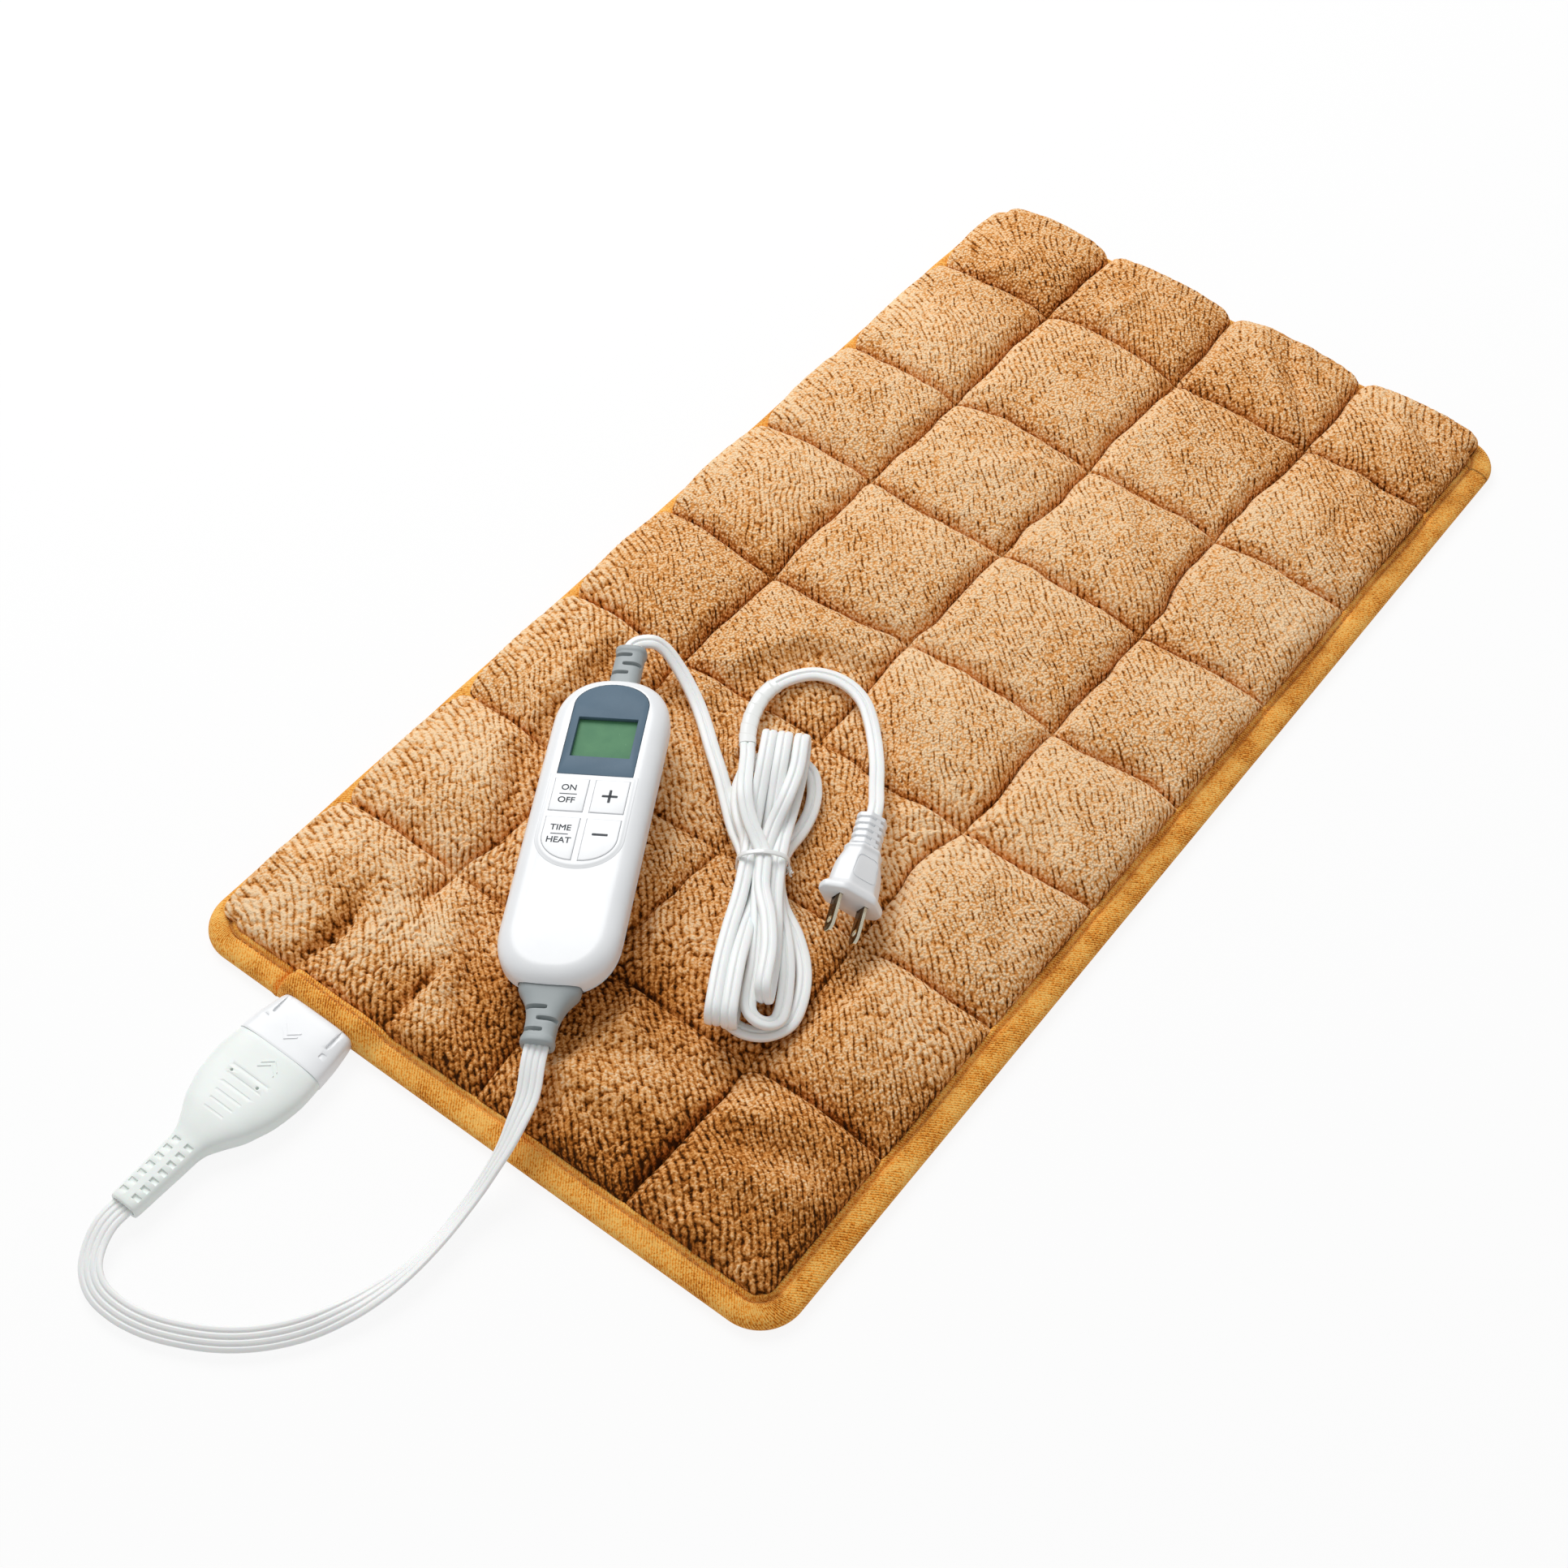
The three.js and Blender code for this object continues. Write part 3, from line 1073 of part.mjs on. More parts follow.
function hankRoute(start, finish) {
  const runs = hankRuns.flatMap((run, i) => {
    const [from, to] = i % 2 === 0 ? ["top", "bottom"] : ["bottom", "top"];
    const points = [hankPlace(run.waist[0] * slotPitch, 0, run.waist[1])];
    if (run[from]) points.unshift(...hankHalf(run, run[from]).reverse());
    if (run.turn) points.push(...hankHalf(run, run[to]), ...hankTurn(run.turn, run[to], hankRuns[i + 1][to]));
    return points;
  });
  return [...start, ...runs, ...finish];
}

// Least clear distance between runs of the tube that are not neighbours along it.
function leastGap(rings, apart) {
  let least = Infinity;
  for (let i = 0; i < rings.length; i++) {
    for (let j = i + apart; j < rings.length; j++) {
      for (const p of rings[i]) {
        for (const q of rings[j]) least = Math.min(least, p.distanceTo(q));
      }
    }
  }
  return least;
}

function ringsOf(geometry, count) {
  const position = geometry.attributes.position;
  const rings = [];
  for (let i = 0; i < position.count; i += count) {
    const corner = (_, k) => new THREE.Vector3().fromBufferAttribute(position, i + k);
    rings.push(Array.from({ length: count }, corner));
  }
  return rings;
}

function makeCords(topExit, bottomExit, connectorTip, plugEnds) {
  const alongTop = new THREE.Vector3(0, 1, 0).transformDirection(controller.matrixWorld);
  const heaterRoll = (t) => radians(78) * smooth(t, 0.04, 0.34) * (1 - smooth(t, 0.7, 0.98));
  const heaterRoute = [
    bottomExit, bottomExit.clone().addScaledVector(alongTop, -HEATER_WIDTH),
    ...vectors([
      [18, -286, 22.5], [21, -295.5, 20], [23.3, -305, 16.5], [24.2, -314, 12.5], [24.6, -324, 8.5],
      [25.2, -336, 6.2], [25.8, -347, 5.6], [25.6, -358, 5.4], [24.2, -370, 5.4], [21.6, -381, 5.4],
      [18.2, -391, 5.4], [11.5, -405, 5.4], [2.5, -417, 5.4], [-8.5, -427, 5.4], [-21.5, -435, 5.4],
      [-36.3, -441.2, 5.4], [-50, -443.6, 5.4],
      [-61, -442.6, 5.4], [-69.3, -438, 5.4], [-74.6, -431, 5.6],
    ]),
    connectorTip.clone().setY(connectorTip.y - HEATER_WIDTH), connectorTip.clone().setY(connectorTip.y - FIT),
  ];
  const heaterPoints = smoothRoute(heaterRoute, 48);
  const heaterSection = flatSection(HEATER_WIDTH, HEATER_THICK);
  addPiece(model, "heater_cord", sweep(heaterPoints, heaterSection, heaterRoll), "cord");

  const hankStart = [[-14.4, 19, -0.35], [-11, 12.6, -0.3], [-8.2, 6, -0.12]];
  const hankFinish = [[-3, 6.5, 3.2], [-7, 13.5, 3.6], [-10.2, 21, 4], [-12.4, 30, 4.2]];
  const placed = (rows) => rows.map((row) => hankPlace(...row));
  const hankPoints = hankRoute(placed(hankStart), placed(hankFinish));
  const hankSection = superellipse(MAINS_WIDTH / 2, MAINS_THICK / 2, 2.6, 6);
  const hank = sweep(hankPoints, hankSection);
  const gap = leastGap(ringsOf(hank, hankSection.length), 2 * RUN_SHARES.length);
  console.log(`cord_hank: least gap between its runs ${gap.toFixed(2)} mm`);
  addPiece(model, "cord_hank", hank, "cord");

  const joint = (points, from, toward) => {
    const run = new THREE.Vector3().subVectors(points[toward], points[from]).normalize();
    return (reach) => points[from].clone().addScaledVector(run, -reach);
  };
  const intoHank = joint(hankPoints, 0, 1);
  const mainsRoute = [
    topExit, topExit.clone().addScaledVector(alongTop, MAINS_WIDTH * 0.8),
    ...vectors([
      [-89, -74.4, 27.4], [-83.5, -72.6, 24.6], [-75, -74.2, 20.6], [-65.5, -78, 17.4], [-56, -83.4, 15.6],
      [-46.8, -90.2, 15.2], [-35.8, -99.1, 15.2], [-24.9, -107.6, 15.4],
    ]),
    intoHank(2 * MAINS_WIDTH), intoHank(FIT),
  ];
  const section = flatSection(MAINS_WIDTH, MAINS_THICK);
  addPiece(model, "mains_cord_run", sweep(smoothRoute(mainsRoute, 26), section), "cord");

  const outOfHank = joint(hankPoints, hankPoints.length - 1, hankPoints.length - 2);
  const plugRoute = [
    outOfHank(FIT), outOfHank(1.5 * MAINS_WIDTH),
    ...vectors([
      [-18, -97.5, 23.5], [-28.4, -83, 19], [-34.6, -70.4, 16.4], [-37.3, -59, 15.4], [-36.3, -49.8, 15.1],
      [-32.9, -42, 15.1], [-26.9, -35, 15.1], [-18.1, -31.4, 15.1], [-9, -31.4, 15.1], [-0.2, -34.6, 15.1],
      [7.5, -40.5, 15.1], [15.9, -49, 15.5], [25.6, -60.8, 17.6], [34.7, -74.2, 21.6],
    ]),
    plugEnds[1], plugEnds[0],
  ];
  const plugPoints = smoothRoute(plugRoute, 36);
  addPiece(model, "plug_cord_run", sweep(plugPoints, section), "cord");
  makeFilm(plugPoints.slice(5, 16));
  makeTie();
}

// Clear film wrapped round the cord where it leaves the hank.
function makeFilm(points) {
  const sectionAt = (grow) => flatSection(MAINS_WIDTH + 2 * grow, MAINS_THICK + 2 * grow);
  const outer = sweep(points.slice(1, -1), sectionAt(FIT + FILM_THICK));
  addPiece(model, "cord_film", cut(outer, [sweep(points, sectionAt(FIT))]), "film");
}

// Outline of the tie round the waist: flat below, upright sides, then drawn in over the crown.
function tieOutline(grow) {
  const half = 1.5 * slotPitch + 2 * FIT + grow;
  const floor = leadRest + TIE_THICK - grow;
  const above = MAINS_THICK / 2 + FIT + grow;
  const shoulder = hankFloor + hankShoulder * layerPitch + above;
  const crown = hankFloor + hankCrown * layerPitch + above;
  const flat = MAINS_WIDTH / 2 + grow;
  const side = [
    [half - TIE_BEND, floor], [half - TIE_BEND / 3, floor + TIE_BEND / 3], [half, floor + TIE_BEND],
    [half, shoulder - TIE_BEND / 3], [half - TIE_BEND / 3, shoulder + TIE_BEND / 3], [flat, crown - FIT],
    [flat - TIE_BEND / 2, crown],
  ];
  const other = side.map(([u, z]) => [-u, z]).reverse();
  return [...side, ...other].map(([u, z]) => new THREE.Vector2(u, z));
}

// Flat tie drawn round the waist, with its twisted tail on the right.
function makeTie() {
  const outer = tieOutline(TIE_THICK);
  const round = new THREE.Shape(outer);
  round.holes.push(new THREE.Path(tieOutline(0)));
  const ring = plate(round, -TIE_WIDTH / 2, TIE_WIDTH / 2);
  const reach = Math.max(...outer.map((p) => p.x)) - TIE_THICK / 2;
  const middle = hankFloor + layerPitch;
  const thick = TIE_WIDTH / 2;
  const tail = blockAt(reach, reach + TIE_TAIL, middle - thick, middle + thick, -thick / 2, thick / 2);
  const tie = join(ring, [tail]);
  tie.rotateX(Math.PI / 2);
  const group = new THREE.Group();
  group.position.set(HANK_X, HANK_Y, 0);
  group.rotation.z = radians(HANK_TURN);
  addPiece(group, "twist_tie", tie, "film");
  model.add(group);
}

makePad();
makeSocket();
const connectorTip = makeConnector();
const [topExit, bottomExit] = makeController();
const plugEnds = makePlug();
makeCords(topExit, bottomExit, connectorTip, plugEnds);

export default model;
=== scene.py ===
# Heating pad with a hand controller, a pull-apart connector and a mains lead tied in a hank.
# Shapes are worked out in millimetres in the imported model's frame, and meshes are made in metres.
import math

import bmesh
import bpy
import numpy as np
from mathutils import Matrix, Vector


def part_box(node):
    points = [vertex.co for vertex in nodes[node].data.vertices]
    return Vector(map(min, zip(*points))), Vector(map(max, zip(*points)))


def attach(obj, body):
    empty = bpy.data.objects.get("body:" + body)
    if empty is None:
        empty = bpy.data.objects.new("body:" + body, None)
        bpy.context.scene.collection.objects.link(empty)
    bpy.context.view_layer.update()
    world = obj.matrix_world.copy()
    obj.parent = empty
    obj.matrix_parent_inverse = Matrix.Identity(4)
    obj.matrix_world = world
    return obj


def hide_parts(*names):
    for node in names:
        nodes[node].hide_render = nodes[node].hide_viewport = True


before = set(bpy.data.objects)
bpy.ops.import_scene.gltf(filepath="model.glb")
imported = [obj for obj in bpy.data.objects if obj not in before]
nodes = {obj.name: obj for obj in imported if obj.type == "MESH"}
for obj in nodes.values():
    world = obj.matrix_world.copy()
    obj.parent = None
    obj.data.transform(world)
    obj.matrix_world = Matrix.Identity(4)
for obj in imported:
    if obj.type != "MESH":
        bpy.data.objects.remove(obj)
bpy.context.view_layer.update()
MM = 0.001


# Small helpers for meshes

def smoothstep(value, low, high):
    share = np.clip((np.asarray(value, dtype=float) - low) / (high - low), 0, 1)
    return share * share * (3 - 2 * share)


def grid_faces(rows, columns, closed=False, joined=False):
    """Quads over points stored row by row; closed joins each row's ends, and joined each column's."""
    down = rows if joined else rows - 1
    across = columns if closed else columns - 1
    row, column = np.meshgrid(np.arange(down), np.arange(across), indexing="ij")
    below, beside = (row + 1) % rows, (column + 1) % columns
    here, there = row * columns, below * columns
    corners = [here + column, here + beside, there + beside, there + column]
    return np.stack(corners, axis=-1).reshape(-1, 4)


def place(points, matrix=None):
    """Millimetre points, in a piece's own frame if a matrix is given, as metres in the row frame."""
    points = np.asarray(points, dtype=float)
    if matrix is not None:
        turn = np.array(matrix.to_3x3())
        points = points @ turn.T + np.array(matrix.translation)
    return points * MM


def make_piece(name, points, faces, finish, body, slot, matrix=None, sharp=None):
    """A mesh object that rides on a body; sharp is the angle over which edges stay crisp."""
    mesh = bpy.data.meshes.new(name)
    mesh.from_pydata(place(points, matrix).tolist(), [], [list(map(int, face)) for face in faces])
    mesh.update()
    piece = bpy.data.objects.new(name, mesh)
    bpy.context.collection.objects.link(piece)
    dress(piece, finish, body)
    shade(piece, sharp)
    return piece


def dress(piece, finish, body):
    piece.data.materials.clear()
    piece.data.materials.append(finish)
    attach(piece, body)


def shade(piece, sharp=None):
    mesh = piece.data
    mesh.polygons.foreach_set("use_smooth", [True] * len(mesh.polygons))
    if sharp is not None:
        mesh.set_sharp_from_angle(angle=math.radians(sharp))


def float_attribute(piece, name, values):
    attribute = piece.data.attributes.new(name, "FLOAT", "POINT")
    attribute.data.foreach_set("value", np.asarray(values, dtype=np.float32))


def bake_modifiers(piece, sharp=None):
    """The piece's modifiers are made part of its mesh."""
    graph = bpy.context.evaluated_depsgraph_get()
    mesh = bpy.data.meshes.new_from_object(piece.evaluated_get(graph))
    piece.modifiers.clear()
    piece.data = mesh
    shade(piece, sharp)


def carve(piece, cutters, matrix=None, sharp=40):
    """Each cutter, points and faces in millimetres of the matrix's frame, is taken out of the piece."""
    helpers = []
    for points, faces in cutters:
        mesh = bpy.data.meshes.new("cutter")
        mesh.from_pydata(place(points, matrix).tolist(), [], [list(map(int, face)) for face in faces])
        skin = bmesh.new()
        skin.from_mesh(mesh)
        bmesh.ops.recalc_face_normals(skin, faces=skin.faces)
        skin.to_mesh(mesh)
        skin.free()
        helper = bpy.data.objects.new("cutter", mesh)
        bpy.context.collection.objects.link(helper)
        modifier = piece.modifiers.new("carve", "BOOLEAN")
        modifier.operation = "DIFFERENCE"
        modifier.solver = "EXACT"
        modifier.object = helper
        helpers.append(helper)
    bake_modifiers(piece, sharp)
    for helper in helpers:
        mesh = helper.data
        bpy.data.objects.remove(helper)
        bpy.data.meshes.remove(mesh)


def soften(piece, width, segments=2, angle=40, sharp=40):
    """Moulded edges: every edge sharper than the angle is rounded."""
    modifier = piece.modifiers.new("soften", "BEVEL")
    modifier.width = width * MM
    modifier.segments = segments
    modifier.limit_method = "ANGLE"
    modifier.angle_limit = math.radians(angle)
    modifier.harden_normals = False
    bake_modifiers(piece, sharp)


def loft(rings):
    """Points and faces of a closed skin over rings of equal count, with flat ends."""
    rings = np.asarray(rings, dtype=float)
    count = rings.shape[1]
    faces = [list(face) for face in grid_faces(len(rings), count, closed=True)]
    last = (len(rings) - 1) * count
    faces.append(list(range(count))[::-1])
    faces.append(list(range(last, last + count)))
    return rings.reshape(-1, 3), faces


def merge(solids):
    """Several solids as the points and faces of one mesh."""
    points, faces = [], []
    for more, quads in solids:
        faces += [[i + len(points) for i in face] for face in quads]
        points += more.tolist()
    return points, faces


def level_ring(outline, z):
    return np.column_stack([outline, np.full(len(outline), z)])


def upright_ring(outline, y, middle=(0, 0, 0)):
    return np.column_stack([outline[:, 0], np.full(len(outline), y), outline[:, 1]]) + np.asarray(middle)


def prism(outline, low, high):
    outline = np.asarray(outline, dtype=float)
    return loft([level_ring(outline, low), level_ring(outline, high)])


def box_solid(low, high):
    (x0, y0, z0), (x1, y1, z1) = low, high
    return prism([[x0, y0], [x1, y0], [x1, y1], [x0, y1]], z0, z1)


def superellipse(half_x, half_y, power, count):
    angle = (np.arange(count) + 0.5) / count * 2 * np.pi
    c, s = np.cos(angle), np.sin(angle)
    x = half_x * np.sign(c) * np.abs(c) ** (2 / power)
    y = half_y * np.sign(s) * np.abs(s) ** (2 / power)
    return np.column_stack([x, y])


def drawn_body(stations, power, count, middle=(0, 0, 0)):
    """A body drawn along -y: each station gives y, half width and half height."""
    rings = []
    for y, half_x, half_z in stations:
        rings.append(upright_ring(superellipse(half_x, half_z, power, count), y, middle))
    return loft(rings)


def eased(stations, steps):
    """Stations filled in smoothly along the body, so that a few sizes give a soft outline."""
    stations = np.asarray(stations, dtype=float)
    share = np.linspace(0, len(stations) - 1, (len(stations) - 1) * steps + 1)
    return [catmull(stations, at) for at in share]


def catmull(points, at):
    i = min(int(at), len(points) - 2)
    t = at - i
    p0, p1 = points[max(i - 1, 0)], points[i]
    p2, p3 = points[i + 1], points[min(i + 2, len(points) - 1)]
    a = 2 * p1 + (p2 - p0) * t + (2 * p0 - 5 * p1 + 4 * p2 - p3) * t * t
    return (a + (3 * p1 - p0 - 3 * p2 + p3) * t**3) / 2


def distances(points):
    """How far along a line each of its points lies."""
    return np.concatenate([[0], np.cumsum(np.linalg.norm(np.diff(points, axis=0), axis=1))])


def evenly(points, count):
    """A line of points filled in at even distances."""
    reach = distances(points)
    even = np.linspace(0, reach[-1], count)
    return np.column_stack([np.interp(even, reach, points[:, axis]) for axis in range(points.shape[1])])


def smooth_route(points, step):
    """Even points along a soft curve through the given ones, paced by how far apart they are."""
    points = np.asarray(points, dtype=float)
    apart = np.linalg.norm(np.diff(points, axis=0), axis=1)
    pace = np.concatenate([[0], np.cumsum(apart ** 0.5)])
    slope = np.gradient(points, pace, axis=0)
    at = np.linspace(0, pace[-1], 40 * len(points))
    i = np.clip(np.searchsorted(pace, at, side="right") - 1, 0, len(points) - 2)
    span = (pace[i + 1] - pace[i])[:, None]
    t = (at - pace[i])[:, None] / span
    fine = (1 + 2 * t) * (1 - t) ** 2 * points[i] + t * t * (3 - 2 * t) * points[i + 1]
    fine += span * (t * (1 - t) ** 2 * slope[i] + t * t * (t - 1) * slope[i + 1])
    return evenly(fine, max(2, int(distances(fine)[-1] / step)) + 1)


STEEP_RUN = 0.3
LEVEL_DRAW = 0.12


def carried_sides(run):
    """Sideways directions carried along a route, and drawn level where it isn't steep."""
    sides = []
    side = np.cross([0, 0, 1], run[0])
    for ahead in run:
        side = side - ahead * side.dot(ahead)
        side = side / np.linalg.norm(side)
        level = np.cross([0, 0, 1], ahead)
        flat = np.linalg.norm(level)
        if flat > STEEP_RUN:
            level = level / math.copysign(flat, level.dot(side))
            side = side + (level - side) * LEVEL_DRAW * flat
            side = side / np.linalg.norm(side)
        sides.append(side)
    return np.array(sides)


def sweep(points, section, roll=None):
    """A section carried along a route, rolled about the run by each point's angle."""
    run = np.gradient(points, axis=0)
    run /= np.linalg.norm(run, axis=1, keepdims=True)
    side = carried_sides(run)
    lift = np.cross(run, side)
    angle = np.zeros(len(points)) if roll is None else roll
    c, s = np.cos(angle)[:, None], np.sin(angle)[:, None]
    turned, raised = side * c + lift * s, lift * c - side * s
    across = turned[:, None] * section[None, :, :1]
    up = raised[:, None] * section[None, :, 1:]
    return loft(points[:, None] + across + up)


# Small helpers for materials

def srgb(text):
    channels = [int(text[i:i + 2], 16) / 255 for i in (1, 3, 5)]
    linear = [c / 12.92 if c <= 0.04045 else ((c + 0.055) / 1.055) ** 2.4 for c in channels]
    return (*linear, 1.0)


def join(tree, node, inputs):
    """Sets a node's inputs; each is a value or the output that feeds it."""
    for name, value in inputs.items():
        if isinstance(value, bpy.types.NodeSocket):
            tree.links.new(value, node.inputs[name])
        else:
            node.inputs[name].default_value = value


def add(tree, kind, inputs=None, out=0, stops=(), **settings):
    """Adds one node with its settings, links and ramp stops, and gives the output that is asked for."""
    node = tree.nodes.new("ShaderNode" + kind)
    for name, value in settings.items():
        setattr(node, name, value)
    join(tree, node, inputs or {})
    if stops:
        elements = node.color_ramp.elements
        while len(elements) < len(stops):
            elements.new(0.5)
        for element, (at, text) in zip(elements, stops):
            element.position = at
            element.color = srgb(text)
    return node.outputs[out]


def new_material(name, constants):
    """A material with one Principled shader and the values that are the same all over it."""
    finish = bpy.data.materials.new(name)
    finish.use_nodes = True
    shader = finish.node_tree.nodes["Principled BSDF"]
    join(finish.node_tree, shader, constants)
    return finish, finish.node_tree, shader


# Coral fleece: cut pile knitted in rows of round tufts and brushed one way. The tufts stand in the mesh;
# where the pile is brushed flat it shows finer tufts, and slits show where two rows part. Its colour carries
# painted shade: darker between the tufts, in the slits and in the seam creases.
ROW_PITCH = 2.6
TUFT_PITCH = 2.3
FINE_TUFT = 1.4
SLIT_LENGTH = 4.2
HAIR = 1.0
PILE_RELIEF = 0.7
PILE_LAY = math.radians(-44)


def fleece():
    finish, tree, shader = new_material("coral_fleece", {
        "Roughness": 0.95, "Sheen Weight": 0.1, "Sheen Roughness": 0.6, "Sheen Tint": srgb("#F0B878"),
        "Specular IOR Level": 0.05})
    where = add(tree, "TexCoord", out="Object")
    tuft, row, run, parted, nap, painted_crease_shade = [
        add(tree, "Attribute", out="Fac", attribute_name=name)
        for name in ("tuft", "row", "run", "parted", "nap", "painted_crease_shade")]
    fine = add(tree, "TexVoronoi", {"Vector": where, "Scale": 1 / (FINE_TUFT * MM), "Randomness": 0.9})
    fine = add(tree, "MapRange", {"Value": fine, 1: 0.05, 2: 0.75, 3: 1.0, 4: 0.0})
    ribbed = add(tree, "MapRange", {"Value": parted, 1: 0.4, 2: 0.6, 3: 0.08, 4: 0.72})
    knob = add(tree, "MapRange", {"Value": tuft, 1: 0.2, 2: 1.0, 3: -0.2, 4: 0.95}, clamp=False)
    pile = add(tree, "Mix", {0: ribbed, 2: fine, 3: knob})
    valley = add(tree, "Math", {0: row, 1: 0.5}, operation="PINGPONG")
    nearest = add(tree, "Math", {0: row}, operation="ROUND")
    slit_x = add(tree, "Math", {0: run, 1: TUFT_PITCH / SLIT_LENGTH}, operation="MULTIPLY")
    slit_y = add(tree, "Math", {0: nearest, 1: 3.7}, operation="MULTIPLY")
    slit_at = add(tree, "CombineXYZ", {0: slit_x, 1: slit_y})
    broken = add(tree, "TexNoise", {"Vector": slit_at, "Scale": 1.0, "Detail": 0.0}, noise_dimensions="2D")
    parting = add(tree, "Math", {0: broken, 1: parted}, operation="ADD")
    parting = add(tree, "MapRange", {"Value": parting, 1: 0.82, 2: 1.02})
    slit = add(tree, "MapRange", {"Value": valley, 1: 0.02, 2: 0.2, 3: 1.0, 4: 0.0})
    slit = add(tree, "Math", {0: slit, 1: parting}, operation="MULTIPLY")
    closed = add(tree, "MapRange", {"Value": parted, 1: 0.42, 2: 0.64, 3: 1.0, 4: 0.35})
    slit = add(tree, "Math", {0: slit, 1: closed}, operation="MULTIPLY")
    hair = add(tree, "TexNoise", {"Vector": where, "Scale": 1 / (HAIR * MM), "Detail": 2.0})
    # Painted shade in the colour: darker between the tufts, in the slits and in the seam creases; the nap
    # attribute brings painted light and shade of the puffs, and hair adds random tone.
    tone, height = nap, pile
    for part, share in ((pile, 0.82), (hair, 0.9), (slit, -0.5), (painted_crease_shade, -0.45)):
        tone = add(tree, "Math", {0: part, 1: share, 2: tone}, operation="MULTIPLY_ADD")
    for part, share in ((hair, 0.7), (slit, -0.7)):
        height = add(tree, "Math", {0: part, 1: share, 2: height}, operation="MULTIPLY_ADD")
    colour = add(tree, "ValToRGB", {"Fac": tone}, stops=(
        (0.0, "#3A1A05"), (0.2, "#7C4310"), (0.4, "#B26827"),
        (0.6, "#DE9850"), (0.8, "#F5BD82"), (1.0, "#FDDBB0")))
    bump = add(tree, "Bump", {"Height": height, "Strength": 1.0, "Distance": PILE_RELIEF * MM})
    join(tree, shader, {"Base Color": colour, "Normal": bump})
    return finish


# Brushed cotton twill: short raised ribs across the cloth under a soft nap that is worn in patches
RIB = 1.3
RIB_SLOPE = 0.7
WORN_PATCH = 14
CLOTH_NAP = 0.9
CLOTH_RELIEF = 0.4


def twill(name, dark, middle, light):
    finish, tree, shader = new_material(name, {
        "Roughness": 0.9, "Sheen Weight": 0.12, "Sheen Roughness": 0.5, "Sheen Tint": srgb("#FFE2B0"),
        "Specular IOR Level": 0.2})
    along, across = [add(tree, "Attribute", out="Fac", attribute_name=name) for name in ("along", "across")]
    where = add(tree, "TexCoord", out="Object")
    patch = add(tree, "TexNoise", {"Vector": where, "Scale": 1 / (WORN_PATCH * MM), "Detail": 3.0})
    nap = add(tree, "TexNoise", {"Vector": where, "Scale": 1 / (CLOTH_NAP * MM), "Detail": 3.0})
    slope = add(tree, "Math", {0: across, 1: RIB_SLOPE, 2: along}, operation="MULTIPLY_ADD")
    phase = add(tree, "Math", {0: slope, 1: 2 * math.pi / RIB}, operation="MULTIPLY")
    jitter = add(tree, "Math", {0: nap, 1: 5.0, 2: phase}, operation="MULTIPLY_ADD")
    wave = add(tree, "Math", {0: jitter}, operation="SINE")
    rib = add(tree, "MapRange", {"Value": wave, 1: -1.0, 2: 1.0})
    worn = add(tree, "MapRange", {"Value": patch, 1: 0.35, 2: 0.7, 3: 1.0, 4: 0.4})
    rib = add(tree, "Math", {0: rib, 1: worn}, operation="MULTIPLY")
    tone = add(tree, "Math", {0: nap, 1: 1.3, 2: patch}, operation="MULTIPLY_ADD")
    tone = add(tree, "Math", {0: rib, 1: 0.35, 2: tone}, operation="MULTIPLY_ADD")
    tone = add(tree, "MapRange", {"Value": tone, 1: 0.92, 2: 1.42})
    colour = add(tree, "ValToRGB", {"Fac": tone}, stops=((0.0, dark), (0.5, middle), (1.0, light)))
    height = add(tree, "Math", {0: nap, 1: 0.5, 2: rib}, operation="MULTIPLY_ADD")
    bump = add(tree, "Bump", {"Height": height, "Strength": 0.9, "Distance": CLOTH_RELIEF * MM})
    join(tree, shader, {"Base Color": colour, "Normal": bump})
    return finish


# Moulded plastics: a faint flow mottling and a fine surface grain from the tool
FLOW = 22
UNDER_SKIN = 1.5
ROUGH_SPREAD = 0.05


def moulded(name, base, low, roughness, grain=0.6, bump=0.02, coat=0.0, ior=1.5, subsurface=0.0):
    finish, tree, shader = new_material(name, {
        "IOR": ior, "Coat Weight": coat, "Coat Roughness": 0.12, "Subsurface Weight": subsurface,
        "Subsurface Scale": UNDER_SKIN * MM})
    where = add(tree, "TexCoord", out="Object")
    flow = add(tree, "TexNoise", {"Vector": where, "Scale": 1 / (FLOW * MM), "Detail": 3.0})
    colour = add(tree, "ValToRGB", {"Fac": flow}, stops=((0.3, low), (0.7, base)))
    tool = add(tree, "TexNoise", {"Vector": where, "Scale": 1 / (grain * MM), "Detail": 2.0})
    rough = add(tree, "MapRange", {
        "Value": tool, 1: 0.3, 2: 0.7, 3: roughness - ROUGH_SPREAD, 4: roughness + ROUGH_SPREAD})
    relief = add(tree, "Bump", {"Height": tool, "Strength": 0.25, "Distance": bump * MM})
    join(tree, shader, {"Base Color": colour, "Roughness": rough, "Normal": relief})
    return finish


# Reflective liquid crystal panel: a faintly clouded green polariser with fine pale specks
CLOUD = 9
SPECK = 2.6


def liquid_crystal():
    finish, tree, shader = new_material("green_liquid_crystal", {"Roughness": 0.45, "IOR": 1.25})
    where = add(tree, "TexCoord", out="Object")
    cloud = add(tree, "TexNoise", {"Vector": where, "Scale": 1 / (CLOUD * MM), "Detail": 4.0})
    specks = add(tree, "TexVoronoi", {"Vector": where, "Scale": 1 / (SPECK * MM)})
    speck = add(tree, "MapRange", {"Value": specks, 1: 0.03, 2: 0.07, 3: 0.3, 4: 0.0})
    tone = add(tree, "Math", {0: cloud, 1: speck}, operation="ADD")
    green = add(tree, "ValToRGB", {"Fac": tone}, stops=(
        (0.25, "#4B815D"), (0.7, "#588D65"), (0.9, "#A0C6A8")))
    join(tree, shader, {"Base Color": green})
    return finish


# Stamped brass with fine draw lines: its rolled faces are painted dark, a painted reflection of the dark pile
# round it, and its sheared rims are painted bright, a painted highlight
DRAW_LINE = 0.3


